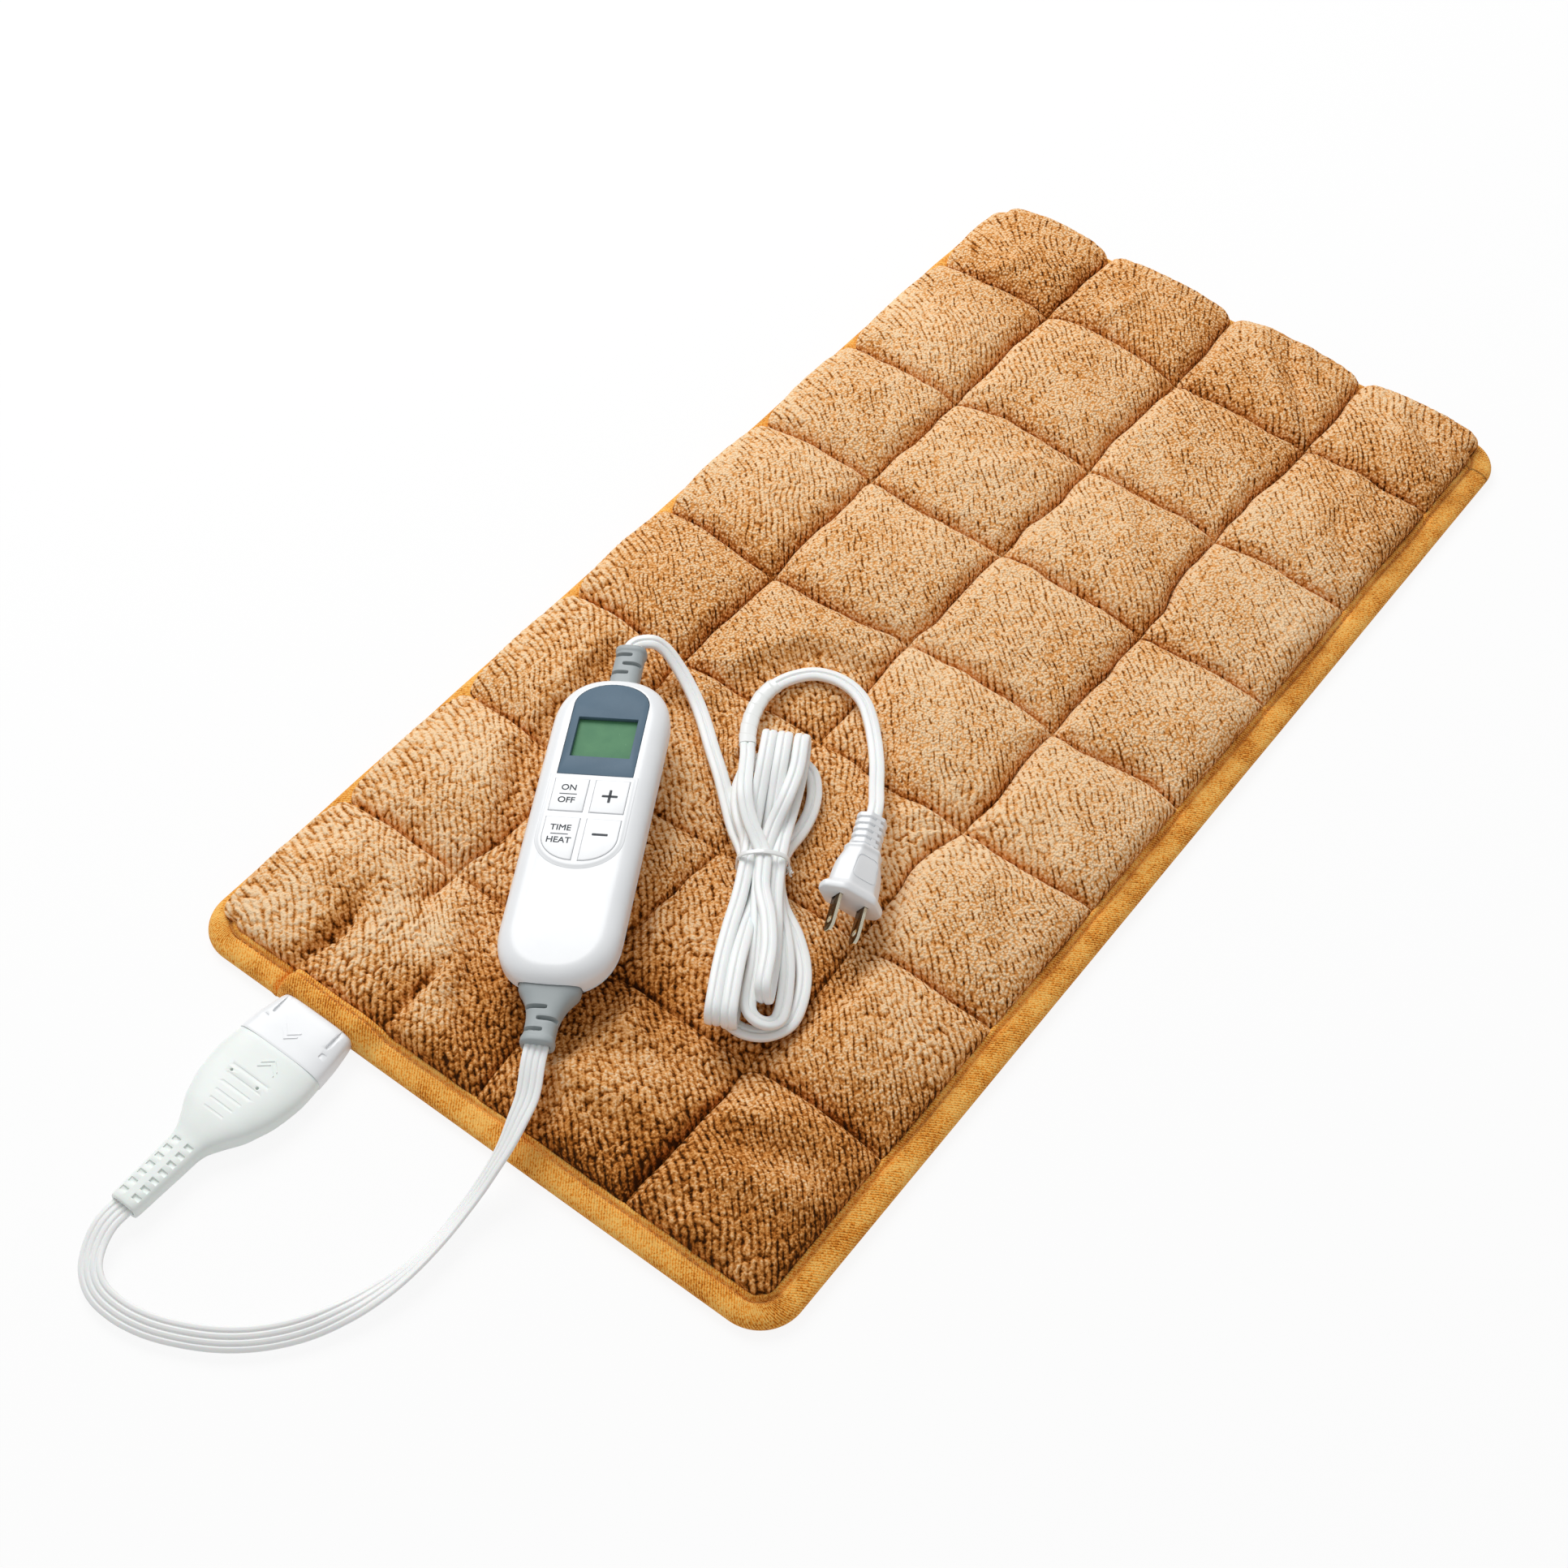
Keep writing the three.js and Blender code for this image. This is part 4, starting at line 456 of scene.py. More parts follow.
def brass():
    finish, tree, shader = new_material("stamped_brass", {"Metallic": 1.0})
    where = add(tree, "TexCoord", out="Object")
    drawn = add(tree, "Mapping", {"Vector": where, "Scale": (1.0, 0.08, 1.0)})
    lines = add(tree, "TexNoise", {"Vector": drawn, "Scale": 1 / (DRAW_LINE * MM), "Detail": 3.0})
    painted_rim_highlight = add(tree, "Attribute", out="Fac", attribute_name="painted_rim_highlight")
    # The rim share lifts the tone from the dark painted reflection to the bright painted highlight.
    tone = add(tree, "Math", {0: lines, 1: 0.3, 2: painted_rim_highlight}, operation="MULTIPLY_ADD")
    colour = add(tree, "ValToRGB", {"Fac": tone}, stops=(
        (0.05, "#4E3A1C"), (0.25, "#7A5E33"), (0.8, "#E4D3A8"), (1.0, "#F2EAD2")))
    rough = add(tree, "MapRange", {"Value": lines, 1: 0.3, 2: 0.7, 3: 0.16, 4: 0.32})
    join(tree, shader, {"Base Color": colour, "Roughness": rough})
    return finish


FLEECE = fleece()
TAPE = twill("brushed_twill_tape", "#B45F09", "#F99B2B", "#FFC76A")
BACKING = twill("brushed_back_cloth", "#8F6435", "#B88A55", "#CFA474")
THREAD = moulded("polyester_thread", "#D9974A", "#C98839", 0.75, grain=0.3, bump=0.05)
WHITE = moulded("white_abs", "#F4F6F8", "#EFF1F3", 0.34, coat=0.1)
CREAM = moulded("off_white_pvc", "#F4F9F6", "#EEF4F0", 0.42, subsurface=0.1)
GREY = moulded("grey_pvc", "#A6ADAE", "#9AA2A4", 0.5)
SLATE = moulded("printed_slate_face", "#5B7284", "#546A7B", 0.5, ior=1.3)
INK = moulded("dark_grey_ink", "#30363E", "#2A2F36", 0.6)
JACKET = moulded("white_pvc_jacket", "#F9FBFA", "#F3F6F5", 0.4, subsurface=0.15)
FILM = moulded("white_film", "#F7F8F7", "#EFF1EF", 0.22, grain=1.5, bump=0.08, coat=0.3)
CRYSTAL = liquid_crystal()
BRASS = brass()


# Camera and cords come first

CAMERA_PLACE = Vector((372.34, -646.36, 865.84)) * MM
CAMERA_LOOK = Vector((-0.34465, 0.51099, -0.78747))
CAMERA_ROLL = math.radians(3.76)
CAMERA_LENS = 56.883


def make_camera():
    camera = bpy.data.objects.new("camera", bpy.data.cameras.new("camera"))
    camera.data.lens = CAMERA_LENS
    camera.data.sensor_width = 36
    camera.data.clip_start = 0.01
    turn = CAMERA_LOOK.to_track_quat("-Z", "Y").to_matrix() @ Matrix.Rotation(CAMERA_ROLL, 3, "Z")
    camera.matrix_world = Matrix.Translation(CAMERA_PLACE) @ turn.to_4x4()
    bpy.context.collection.objects.link(camera)
    bpy.context.scene.camera = camera


# Frames of the controller and the plug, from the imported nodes
CONTROLLER_TURN = math.radians(28.77)
CONTROLLER_ROLL = math.radians(7)
BOARD_MIDDLE = 1.3
PLUG_TURN = math.radians(23.2)
PLUG_PITCH = math.radians(3)
PLUG_ROLL = math.radians(31)
BLADE_MIDDLE = -5.25


def middle_of(*names):
    boxes = np.array([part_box(name) for name in names]) / MM
    return Vector(boxes.mean(axis=(0, 1)))


def own_frame(turn, known, place_of_known):
    """The matrix of a piece's own frame, from one of its points that is known in both."""
    return Matrix.Translation(place_of_known - turn @ Vector(known)) @ turn.to_4x4()


controller_turn = Matrix.Rotation(CONTROLLER_TURN, 3, "Z") @ Matrix.Rotation(-CONTROLLER_ROLL, 3, "Y")
CONTROLLER = own_frame(controller_turn, (0, 0, BOARD_MIDDLE), middle_of("circuit_board"))
plug_turn = Matrix.Rotation(PLUG_TURN, 3, "Z") @ Matrix.Rotation(PLUG_PITCH, 3, "X")
plug_turn = plug_turn @ Matrix.Rotation(PLUG_ROLL, 3, "Y")
PLUG = own_frame(plug_turn, (0, BLADE_MIDDLE, 0), middle_of("plug_blade_left", "plug_blade_right"))

HALF_LENGTH = 81
TOP_REACH = 23
BOTTOM_REACH = 25
GLAND_TOP = HALF_LENGTH + TOP_REACH
GLAND_BOTTOM = -HALF_LENGTH - BOTTOM_REACH
CONNECTOR_X = -78
CONNECTOR_Z = 6.5
CONNECTOR_MIDDLE = (CONNECTOR_X, 0, CONNECTOR_Z)
CONNECTOR_TIP = -412.3
PLUG_TAIL = 43.5


def controller_point(x, y, z=0):
    return np.array(CONTROLLER @ Vector((x, y, z)))


def plug_point(y):
    return np.array(PLUG @ Vector((0, y, 0)))


# Heater cord: a flat cord with four ribs, which turns on edge over the binding and lies face up on the table
HEATER_WIDTH = 10
HEATER_THICK = 2.6
GROOVE_HALF = 0.42
GROOVE_SHARE = 0.42
SECTION_POWER = 3
HEATER_STEP = 2.0
EDGE_ON = math.radians(44)
FACE_ON = math.radians(-20)
HEATER_ROUTE = [
    (18, -286, 22.5), (21, -295.5, 20), (23.3, -305, 16.5), (24.2, -314, 12.5), (24.6, -324, 8.3),
    (25.2, -336, 5.9), (25.8, -347, 5.1), (25.6, -358, 4.8), (24.2, -370, 4.8), (21.6, -381, 4.8),
    (18.2, -391, 4.8), (11.5, -405, 4.8), (2.5, -417, 4.8), (-8.5, -427, 4.8), (-21.5, -435, 4.8),
    (-36.3, -441.2, 4.8), (-50, -443.6, 4.8), (-61, -442.6, 4.9), (-69.3, -438, 5.1), (-74.6, -431, 5.5),
]


def grooved_section(width, thick, cores):
    """A flat cord's section: an oval with a shallow groove between each two of its cores."""
    section = evenly(superellipse(width / 2, thick / 2, SECTION_POWER, 4000), 24 * (cores + 1) + 1)[:-1]
    for core in range(1, cores):
        groove = np.exp(-((section[:, 0] - core * width / cores + width / 2) / GROOVE_HALF) ** 2)
        section[:, 1] *= 1 - GROOVE_SHARE * groove
    return section


def make_heater_cord():
    inside, tip = 16, np.array((CONNECTOR_X, CONNECTOR_TIP, CONNECTOR_Z))
    route = [controller_point(0, GLAND_BOTTOM + inside), controller_point(0, GLAND_BOTTOM - 6)]
    route += [np.array(point) for point in HEATER_ROUTE]
    route += [tip - (0, 9, 0), tip + (0, 6, 0)]
    path = smooth_route(route, HEATER_STEP)
    share = np.linspace(0, 1, len(path))
    roll = EDGE_ON * smoothstep(share, 0.07, 0.24) * (1 - smoothstep(share, 0.34, 0.58))
    roll += FACE_ON * smoothstep(share, 0.36, 0.6) * (1 - smoothstep(share, 0.86, 0.97))
    section = grooved_section(HEATER_WIDTH, HEATER_THICK, 4)
    cord = make_piece("flat_heater_cord", *sweep(path, section, roll), JACKET, "lead_set", "cord", sharp=60)
    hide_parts("heater_cord")
    return cord, path


# Mains cord: twin flat cord, one length from the controller through the hank to the plug
MAINS_WIDTH = 6
MAINS_THICK = 2.9
JACKET_WIDTH = 6.8
JACKET_THICK = 3.3
MAINS_STEP = 1.8
HANK_PLACE = (20.8, -137.2)
HANK_TURN = math.radians(29.4)
HANK_FLOOR = 15.95
HANK_GAP = 0.5
LAYER = MAINS_THICK + HANK_GAP
SLOT = MAINS_WIDTH + HANK_GAP
CORD_TO_HANK = [
    (-89, -74.4, 27.4), (-83.5, -72.6, 24.6), (-75, -74.2, 20.6), (-65.5, -78, 17.4), (-56, -83.4, 15.6),
    (-46.8, -90.2, 15.2), (-35.8, -99.1, 15.2), (-24.9, -107.6, 15.4),
]
HANK_START = [(-14.4, 19, -0.35), (-11, 12.6, -0.3), (-8.2, 6, -0.12)]
HANK_FINISH = [(-3, 6.5, 3.2), (-7, 13.5, 3.6), (-10.2, 21, 4), (-12.4, 30, 4.2)]
CORD_TO_PLUG = [
    (-18, -97.5, 23.5), (-28.4, -83, 19), (-34.6, -70.4, 16.4), (-37.3, -59, 15.4), (-36.3, -49.8, 15.1),
    (-32.9, -42, 15.1), (-26.9, -35, 15.1), (-18.1, -31.4, 15.1), (-9, -31.4, 15.1), (-0.2, -34.6, 15.1),
    (7.5, -40.5, 15.1), (15.9, -49, 15.5), (25.6, -60.8, 17.6), (34.7, -74.2, 21.6),
]
# Runs of the hank, going down and up by turns: waist as slot and layer, each end as across, along and layer.
# A loop turns flat; a fold turns upright, the easy way for a flat cord.
HANK_RUNS = (
    {"waist": (-1, 0), "bottom": (-8, -66, 0), "turn": "loop"},
    {"waist": (1, 0), "bottom": (24, -66, 0), "top": (16.5, 46, 0), "turn": "loop"},
    {"waist": (-1, 1), "top": (-15.5, 46, 0), "bottom": (-8.8, -78, 1), "turn": "fold"},
    {"waist": (-1, 2), "bottom": (-9.4, -79, 4), "top": (-6, 61, 4), "turn": "fold"},
    {"waist": (0, 0), "top": (-6, 61, 1), "bottom": (-2, -79, 1), "turn": "fold"},
    {"waist": (0, 1), "bottom": (-2.8, -79, 4.1), "top": (0.8, 61, 4), "turn": "fold"},
    {"waist": (1, 1), "top": (0.8, 61, 1), "bottom": (17.5, -73, 1), "turn": "loop"},
    {"waist": (0, 2), "bottom": (4, -73, 2.4), "top": (8.2, 61, 4), "turn": "fold", "climb": (0.05, 0.6)},
    {"waist": (1, 2), "top": (9.2, 61, 1), "bottom": (10.8, -66, 1.6), "turn": "fold"},
    {"waist": (0, 3.05), "bottom": (9, -66, 4.6)},
)
RUN_SHARES = (0.25, 0.5, 0.75, 1)
SPREAD_OUT = (0.05, 0.75)
DRAW_IN = (0.25, 0.9)
CLIMB = (0.15, 0.8)
SINK = (0.45, 0.95)
TURN_STEPS = 5


def hank_point(u, v, layer):
    c, s = math.cos(HANK_TURN), math.sin(HANK_TURN)
    x = HANK_PLACE[0] + u * c - v * s
    y = HANK_PLACE[1] + u * s + v * c
    return np.array((x, y, HANK_FLOOR + layer * LAYER))


def hank_half(run, end):
    slot, waist_layer = run["waist"]
    waist = slot * SLOT
    u, v, layer = end
    spread = SPREAD_OUT if abs(u) > abs(waist) else DRAW_IN
    climb = run.get("climb", CLIMB) if layer > waist_layer else SINK
    points = []
    for share in RUN_SHARES:
        across = waist + (u - waist) * float(smoothstep(share, *spread))
        rise = waist_layer + (layer - waist_layer) * float(smoothstep(share, *climb))
        points.append(hank_point(across, v * share, rise))
    return points


def hank_turn(kind, start, end):
    (u0, v0, layer0), (u1, v1, layer1) = start, end
    across = u1 - u0 if kind == "loop" else (layer1 - layer0) * LAYER
    reach = math.copysign(abs(across) / 2, v0)
    points = []
    for step in range(1, TURN_STEPS):
        angle = step / TURN_STEPS * math.pi
        way = (1 - math.cos(angle)) / 2
        v = v0 + (v1 - v0) * way + reach * math.sin(angle)
        points.append(hank_point(u0 + (u1 - u0) * way, v, layer0 + (layer1 - layer0) * way))
    return points


def hank_route():
    points = [hank_point(*spot) for spot in HANK_START]
    for i, run in enumerate(HANK_RUNS):
        first, last = ("top", "bottom") if i % 2 == 0 else ("bottom", "top")
        if first in run:
            points += hank_half(run, run[first])[::-1]
        points.append(hank_point(run["waist"][0] * SLOT, 0, run["waist"][1]))
        if "turn" in run:
            points += hank_half(run, run[last]) + hank_turn(run["turn"], run[last], HANK_RUNS[i + 1][last])
    return points + [hank_point(*spot) for spot in HANK_FINISH]


def make_mains_cord():
    inside = 14
    route = [controller_point(0, GLAND_TOP - inside), controller_point(0, GLAND_TOP + 4)]
    route += [np.array(point) for point in CORD_TO_HANK]
    route += hank_route()
    route += [np.array(point) for point in CORD_TO_PLUG]
    route += [plug_point(PLUG_TAIL + 6), plug_point(PLUG_TAIL - 4)]
    path = smooth_route(route, MAINS_STEP)
    section = grooved_section(JACKET_WIDTH, JACKET_THICK, 2)
    cord = make_piece("twin_mains_cord", *sweep(path, section), JACKET, "lead_set", "cord", sharp=60)
    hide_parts("mains_cord_run", "cord_hank", "plug_cord_run")
    return cord, path


make_camera()
heater_cord, heater_path = make_heater_cord()
mains_cord, mains_path = make_mains_cord()


# Quilted pad

PAD_WIDTH = 305
PAD_LENGTH = 610
PAD_CORNER = 20
QUILT_INSET = 12.3
SEAM_COLUMNS = (-140.2, -80, -4.5, 72, 140.2)
SEAM_ROWS = (-292.7, -214.9, -137.2, -61.1, 8.6, 84.2, 158.7, 240.8, 292.7)
SEAM_HEIGHT = 5.9
PRESSED_CROWN = 6.6
FREE_CROWN = 13.5
PILE_GRID = 0.8
SEAM_CROWD = 0.35
STEEP_REACH = 9
SOFT_REACH = 38
PULL = 20
PRESS_EASE = 14
# Lines along which the lead set lies on the pad, with half the width that it presses down
RESTS = (
    ((-72, -122), (-14, -228), 26), ((-4, -92), (22, -138), 16), ((22, -138), (52, -192), 21),
    ((-93, -80), (-20, -110), 7), ((-37, -59), (-26, -35), 10), ((-26, -35), (-9, -31), 10),
    ((-9, -31), (33, -71), 9), ((48, -98), (66, -142), 15), ((18, -286), (24, -320), 6),
)
# How far the puffs along each edge swell out over the binding: left, right, near, far
SWELL = (10.5, 1.0, 0.8, 14)
LEAN_REACH = 2.8
# Folds that the quilting draws across the puffs: both ends, height and half width
FOLDS = (
    ((8, 292), (70, 238), 2.6, 4.5), ((26, 292), (72, 248), -1.8, 3.5), ((36, 288), (76, 256), 1.6, 3.5),
    ((90, 284), (134, 256), 2.8, 5), ((98, 292), (138, 266), -2.0, 4), ((-59, 232), (-46, 284), 2.0, 5),
    ((104, 226), (138, 196), 2.0, 4), ((110, 206), (138, 172), -1.6, 3.5), ((100, 196), (137, 160), 1.6, 4),
    ((-136, 226), (-108, 262), 2.2, 5), ((-20, 150), (-50, 100), 1.4, 5), ((20, 150), (60, 95), 1.3, 5),
    ((84, -10), (128, -50), 1.6, 5), ((90, -70), (130, -122), 1.8, 5), ((78, -150), (120, -206), 2.0, 6),
    ((70, -246), (122, -222), 4.0, 7), ((76, -256), (134, -238), -3.5, 7), ((84, -272), (138, -252), 3.0, 7),
    ((8, -236), (66, -222), 3.5, 7), ((2, -252), (66, -240), -3.0, 7), ((10, -272), (70, -258), 3.0, 7),
    ((-120, -216), (-128, -286), 1.6, 5),
)


def lattice(cell, seed):
    """A random value from 0 to 1 for each whole-number cell."""
    mix = (cell[:, 0] * 374761393 + cell[:, 1] * 668265263 + seed * 974634777) & 0xFFFFFFFF
    mix = ((mix ^ (mix >> 13)) * 1274126177) & 0xFFFFFFFF
    return ((mix ^ (mix >> 16)) & 0xFFFF) / 65535


def value_noise(points, seed):
    """Soft noise from 0 to 1 with one random value per unit square's corner."""
    base = np.floor(points).astype(np.int64)
    part = points - base
    part = part * part * (3 - 2 * part)
    total = 0
    for dx in (0, 1):
        for dy in (0, 1):
            weight = (part[:, 0] if dx else 1 - part[:, 0]) * (part[:, 1] if dy else 1 - part[:, 1])
            total = total + weight * lattice(base + (dx, dy), seed)
    return total


def stir(points, size, seed):
    """Noise about zero, of a grain in millimetres, as half a unit up and half a unit down."""
    return value_noise(points / size, seed) - 0.5


def seam_grid(seams):
    """Places across the quilt, close together beside each seam and wider apart on a puff."""
    places = []
    for low, high in zip(seams, seams[1:]):
        count = int((high - low) / PILE_GRID)
        share = np.arange(count) / count
        crowd = SEAM_CROWD * np.sin(2 * np.pi * share) / (2 * np.pi)
        places.append(low + (high - low) * (share - crowd))
    return np.concatenate(places + [[seams[-1]]])


def seam_distance(values, seams):
    return np.abs(values[:, None] - np.asarray(seams)[None, :]).min(axis=1)


def quarter_round(distance, reach):
    share = np.clip(distance / reach, 0, 1)
    return np.sqrt(np.clip(1 - (1 - share) ** 2, 0, 1))


def puff(distance, steep=0.5):
    """A share that stands steep beside the seam, then a long soft rise to the crown."""
    soft = (1 - steep) * quarter_round(distance, SOFT_REACH)
    return steep * quarter_round(distance, STEEP_REACH) + soft


def line_distance(points, start, end):
    along = np.array(end, dtype=float) - start
    share = np.clip((points - start) @ along / along.dot(along), 0, 1)
    return np.linalg.norm(points - start - share[:, None] * along, axis=1), share


def pressed(points):
    """1 where the lead set lies, or slides to, and 0 on the free puffs."""
    most = np.zeros(len(points))
    for start, end, reach in RESTS:
        for slide in (0, PULL / 2, PULL):
            shift = np.array((0, -slide))
            distance, _ = line_distance(points, np.array(start) + shift, np.array(end) + shift)
            most = np.maximum(most, 1 - smoothstep(distance, reach, reach + PRESS_EASE))
    return most


def folds(points):
    total = np.zeros(len(points))
    for start, end, height, half in FOLDS:
        distance, share = line_distance(points, np.array(start, dtype=float), end)
        total += height * np.exp(-(distance / half) ** 2) * np.sin(np.pi * np.clip(share, 0.02, 0.98)) ** 0.5
    return total


def crossing_pulls(points):
    """Short rays that the cloth is drawn into round each crossing of two seams."""
    total = np.zeros(len(points))
    for i, x in enumerate(SEAM_COLUMNS[1:-1]):
        for j, y in enumerate(SEAM_ROWS[1:-1]):
            across, along = points[:, 0] - x, points[:, 1] - y
            reach = np.hypot(across, along)
            angle = np.arctan2(along, across)
            ray = np.cos(7 * angle + 2.1 * i + 1.3 * j) + 0.6 * np.cos(12 * angle + 0.7 * i - 2.2 * j)
            total += ray * np.exp(-reach / 13) * smoothstep(reach, 2, 9)
    return total


# The socket's shell lifts the cloth at the near edge, and the cloth dips on both sides of it
LUMP_HALF = 24
LUMP_RISE = 20
LUMP_SIDE = 16
LUMP_ENDS = (-272, -226)
DIP_HALF = 6.5
DIP_SHARE = 0.9


def over_socket(points, from_column):
    """Distances to the seams across the pad, changed to swell over the socket and dip beside it."""
    across = np.abs(points[:, 0] - CONNECTOR_X)
    share = 1 - smoothstep(points[:, 1], *LUMP_ENDS)
    swell = LUMP_RISE * (1 - smoothstep(across, LUMP_HALF - LUMP_SIDE, LUMP_HALF)) * share
    dip = DIP_SHARE * np.exp(-((across - LUMP_HALF) / DIP_HALF) ** 2) * share
    return np.maximum(from_column, swell) * (1 - dip), dip


def quilt(points):
    """Height of the quilted cloth, its dips beside the socket and its distance from a seam."""
    from_column = seam_distance(points[:, 0], SEAM_COLUMNS)
    from_row = seam_distance(points[:, 1], SEAM_ROWS)
    nearest = np.minimum(from_column, from_row)
    free = 1 - pressed(points)
    fullness = 0.86 + 0.14 * value_noise(points / 48, 3)
    crown = (PRESSED_CROWN + (FREE_CROWN - PRESSED_CROWN) * free) * fullness
    near_edge = 1 - smoothstep(points[:, 1], -285, -225)
    gather = stir(points, 5.5, 2) * np.exp(-nearest / 10)
    ripple = stir(points, (10, 38), 6) * near_edge
    billow = stir(points, (24, 34), 9) * near_edge
    steep = 0.2 + 0.3 * smoothstep(points[:, 1], -160, -20)
    from_column, dip = over_socket(points, from_column)
    body = puff(from_column, steep) * puff(from_row, steep)
    loose = 0.15 + 0.85 * free
    wrinkles = 1.6 * gather + 3.2 * ripple + 1.3 * stir(points, 17, 8) + 4.5 * billow
    wrinkles += 0.9 * crossing_pulls(points) + folds(points)
    height = SEAM_HEIGHT + crown * body + wrinkles * loose * smoothstep(nearest, 0, 5) * 0.8
    return height, dip, nearest


def round_corners(points, half, long, corner):
    """Grid points drawn onto a rounded rectangle, so that the sheet's edge follows its corners."""
    u = np.abs(points[:, 0]) - (half - corner)
    v = np.abs(points[:, 1]) - (long - corner)
    both = (u > 0) & (v > 0)
    pull = np.where(both, np.maximum(u, v) / np.maximum(np.hypot(u, v), 1e-9), 1)
    x = np.where(both, np.sign(points[:, 0]) * (half - corner + u * pull), points[:, 0])
    y = np.where(both, np.sign(points[:, 1]) * (long - corner + v * pull), points[:, 1])
    return np.column_stack([x, y])


def swollen(flat, half, long):
    """The puffs along the edges lean out over the binding, and less so at each seam."""
    lean = lambda distance: distance / LEAN_REACH * np.exp(1 - distance / LEAN_REACH)
    along_row = 0.5 + 0.5 * puff(seam_distance(flat[:, 1], SEAM_ROWS))
    along_column = 0.5 + 0.5 * puff(seam_distance(flat[:, 0], SEAM_COLUMNS))
    left, right, near, far = SWELL
    x = flat[:, 0] + (right * lean(half - flat[:, 0]) - left * lean(half + flat[:, 0])) * along_row
    y = flat[:, 1] + (far * lean(long - flat[:, 1]) - near * lean(long + flat[:, 1])) * along_column
    return np.column_stack([x, y])


def laid(flat):
    """Each point's place along the lay of the pile and across it."""
    c, s = math.cos(PILE_LAY), math.sin(PILE_LAY)
    return flat[:, 0] * c + flat[:, 1] * s, flat[:, 1] * c - flat[:, 0] * s


def knit_places(flat):
    """Each point's place in the knit, counted in tufts along its row and in rows."""
    along, across = laid(flat)
    along = along + 2 * stir(flat, 5, 65)
    across = across + (7 * stir(flat, 55, 61) + 1.2 * stir(flat, 5, 62))
    return np.column_stack([along / TUFT_PITCH, across / ROW_PITCH])


TUFT_SLANT = 0.6
TUFT_SQUEEZE = 0.74
TUFT_REACH = 0.66
TUFT_STRAY = (0.8, 0.44)


def tufts_of(places):
    """0 between the tufts and 1 on top of one; they slant one way and the other from row to row."""
    base = np.floor(places).astype(np.int64)
    middle = (0.5 - TUFT_STRAY[0] / 2, 0.5 - TUFT_STRAY[1] / 2)
    nearest = np.full(len(places), 9.0)
    for dx in (-1, 0, 1):
        for dy in (-1, 0, 1):
            cell = base + (dx, dy)
            stray = np.column_stack([TUFT_STRAY[0] * lattice(cell, 63), TUFT_STRAY[1] * lattice(cell, 64)])
            gap = places - cell - stray - middle
            slant = np.where(cell[:, 1] % 2 == 0, TUFT_SLANT, -TUFT_SLANT)
            ahead = TUFT_SQUEEZE * (gap[:, 0] + slant * gap[:, 1])
            nearest = np.minimum(nearest, np.hypot(ahead, gap[:, 1]))
    return np.clip(1 - (nearest / TUFT_REACH) ** 2, 0, 1)


NEAR_END = (-260, -120)
MID_TONE = 0.14
LIGHT_WAY = (0.9, -0.43)


def pile_tone_and_painted_light(flat, nearest, facing_lamp):
    """Tone of the pile, with painted light and shade in it, and how far its rows part. The tone is lighter on
    slopes that face the lamp and darker in the near puffs' valleys; it changes by region, darker towards the
    near and far ends, which stands partly for the nap's lay and partly for the fall of light; random streaks
    follow the brushed nap.
    """
    x, y = flat[:, 0], flat[:, 1]
    along, across = laid(flat)
    streak = np.column_stack([along / 34, across / 9])
    near = 1 - smoothstep(y, *NEAR_END)
    left = smoothstep(-x, 30, 120)
    # Tone by region: partly the nap's lay, partly painted light falling off towards the near end.
    tone = MID_TONE - near * (0.36 * smoothstep(x, -80, 0) - 0.08 * smoothstep(x, 60, 100) - 0.04)
    tone += left * (0.05 * smoothstep(y, 20, 100) - 0.15 * (1 - near) * (1 - smoothstep(y, -60, 60)))
    tone -= 0.16 * smoothstep(y, 170, 270)
    tone -= 0.1 * smoothstep(x, 40, 100) * smoothstep(y, -260, -180) * (1 - smoothstep(y, -150, -60))
    tone += 0.16 * stir(flat, 40, 21) + 0.14 * stir(streak, 1, 22)
    # Painted light: lighter on slopes that face the lamp. Painted shade: darker in the broad valleys of the
    # near puffs.
    tone += 0.14 * np.clip(facing_lamp, -1, 1) - 0.24 * near * np.exp(-nearest / 13)
    tone += 0.34 * near * stir(flat, 21, 25)
    middle = 1 - smoothstep(y, -130, 90)
    parted = 0.38 + 0.1 * near + 0.09 * middle + 0.05 * left + 0.26 * stir(flat, 33, 23)
    return tone, parted


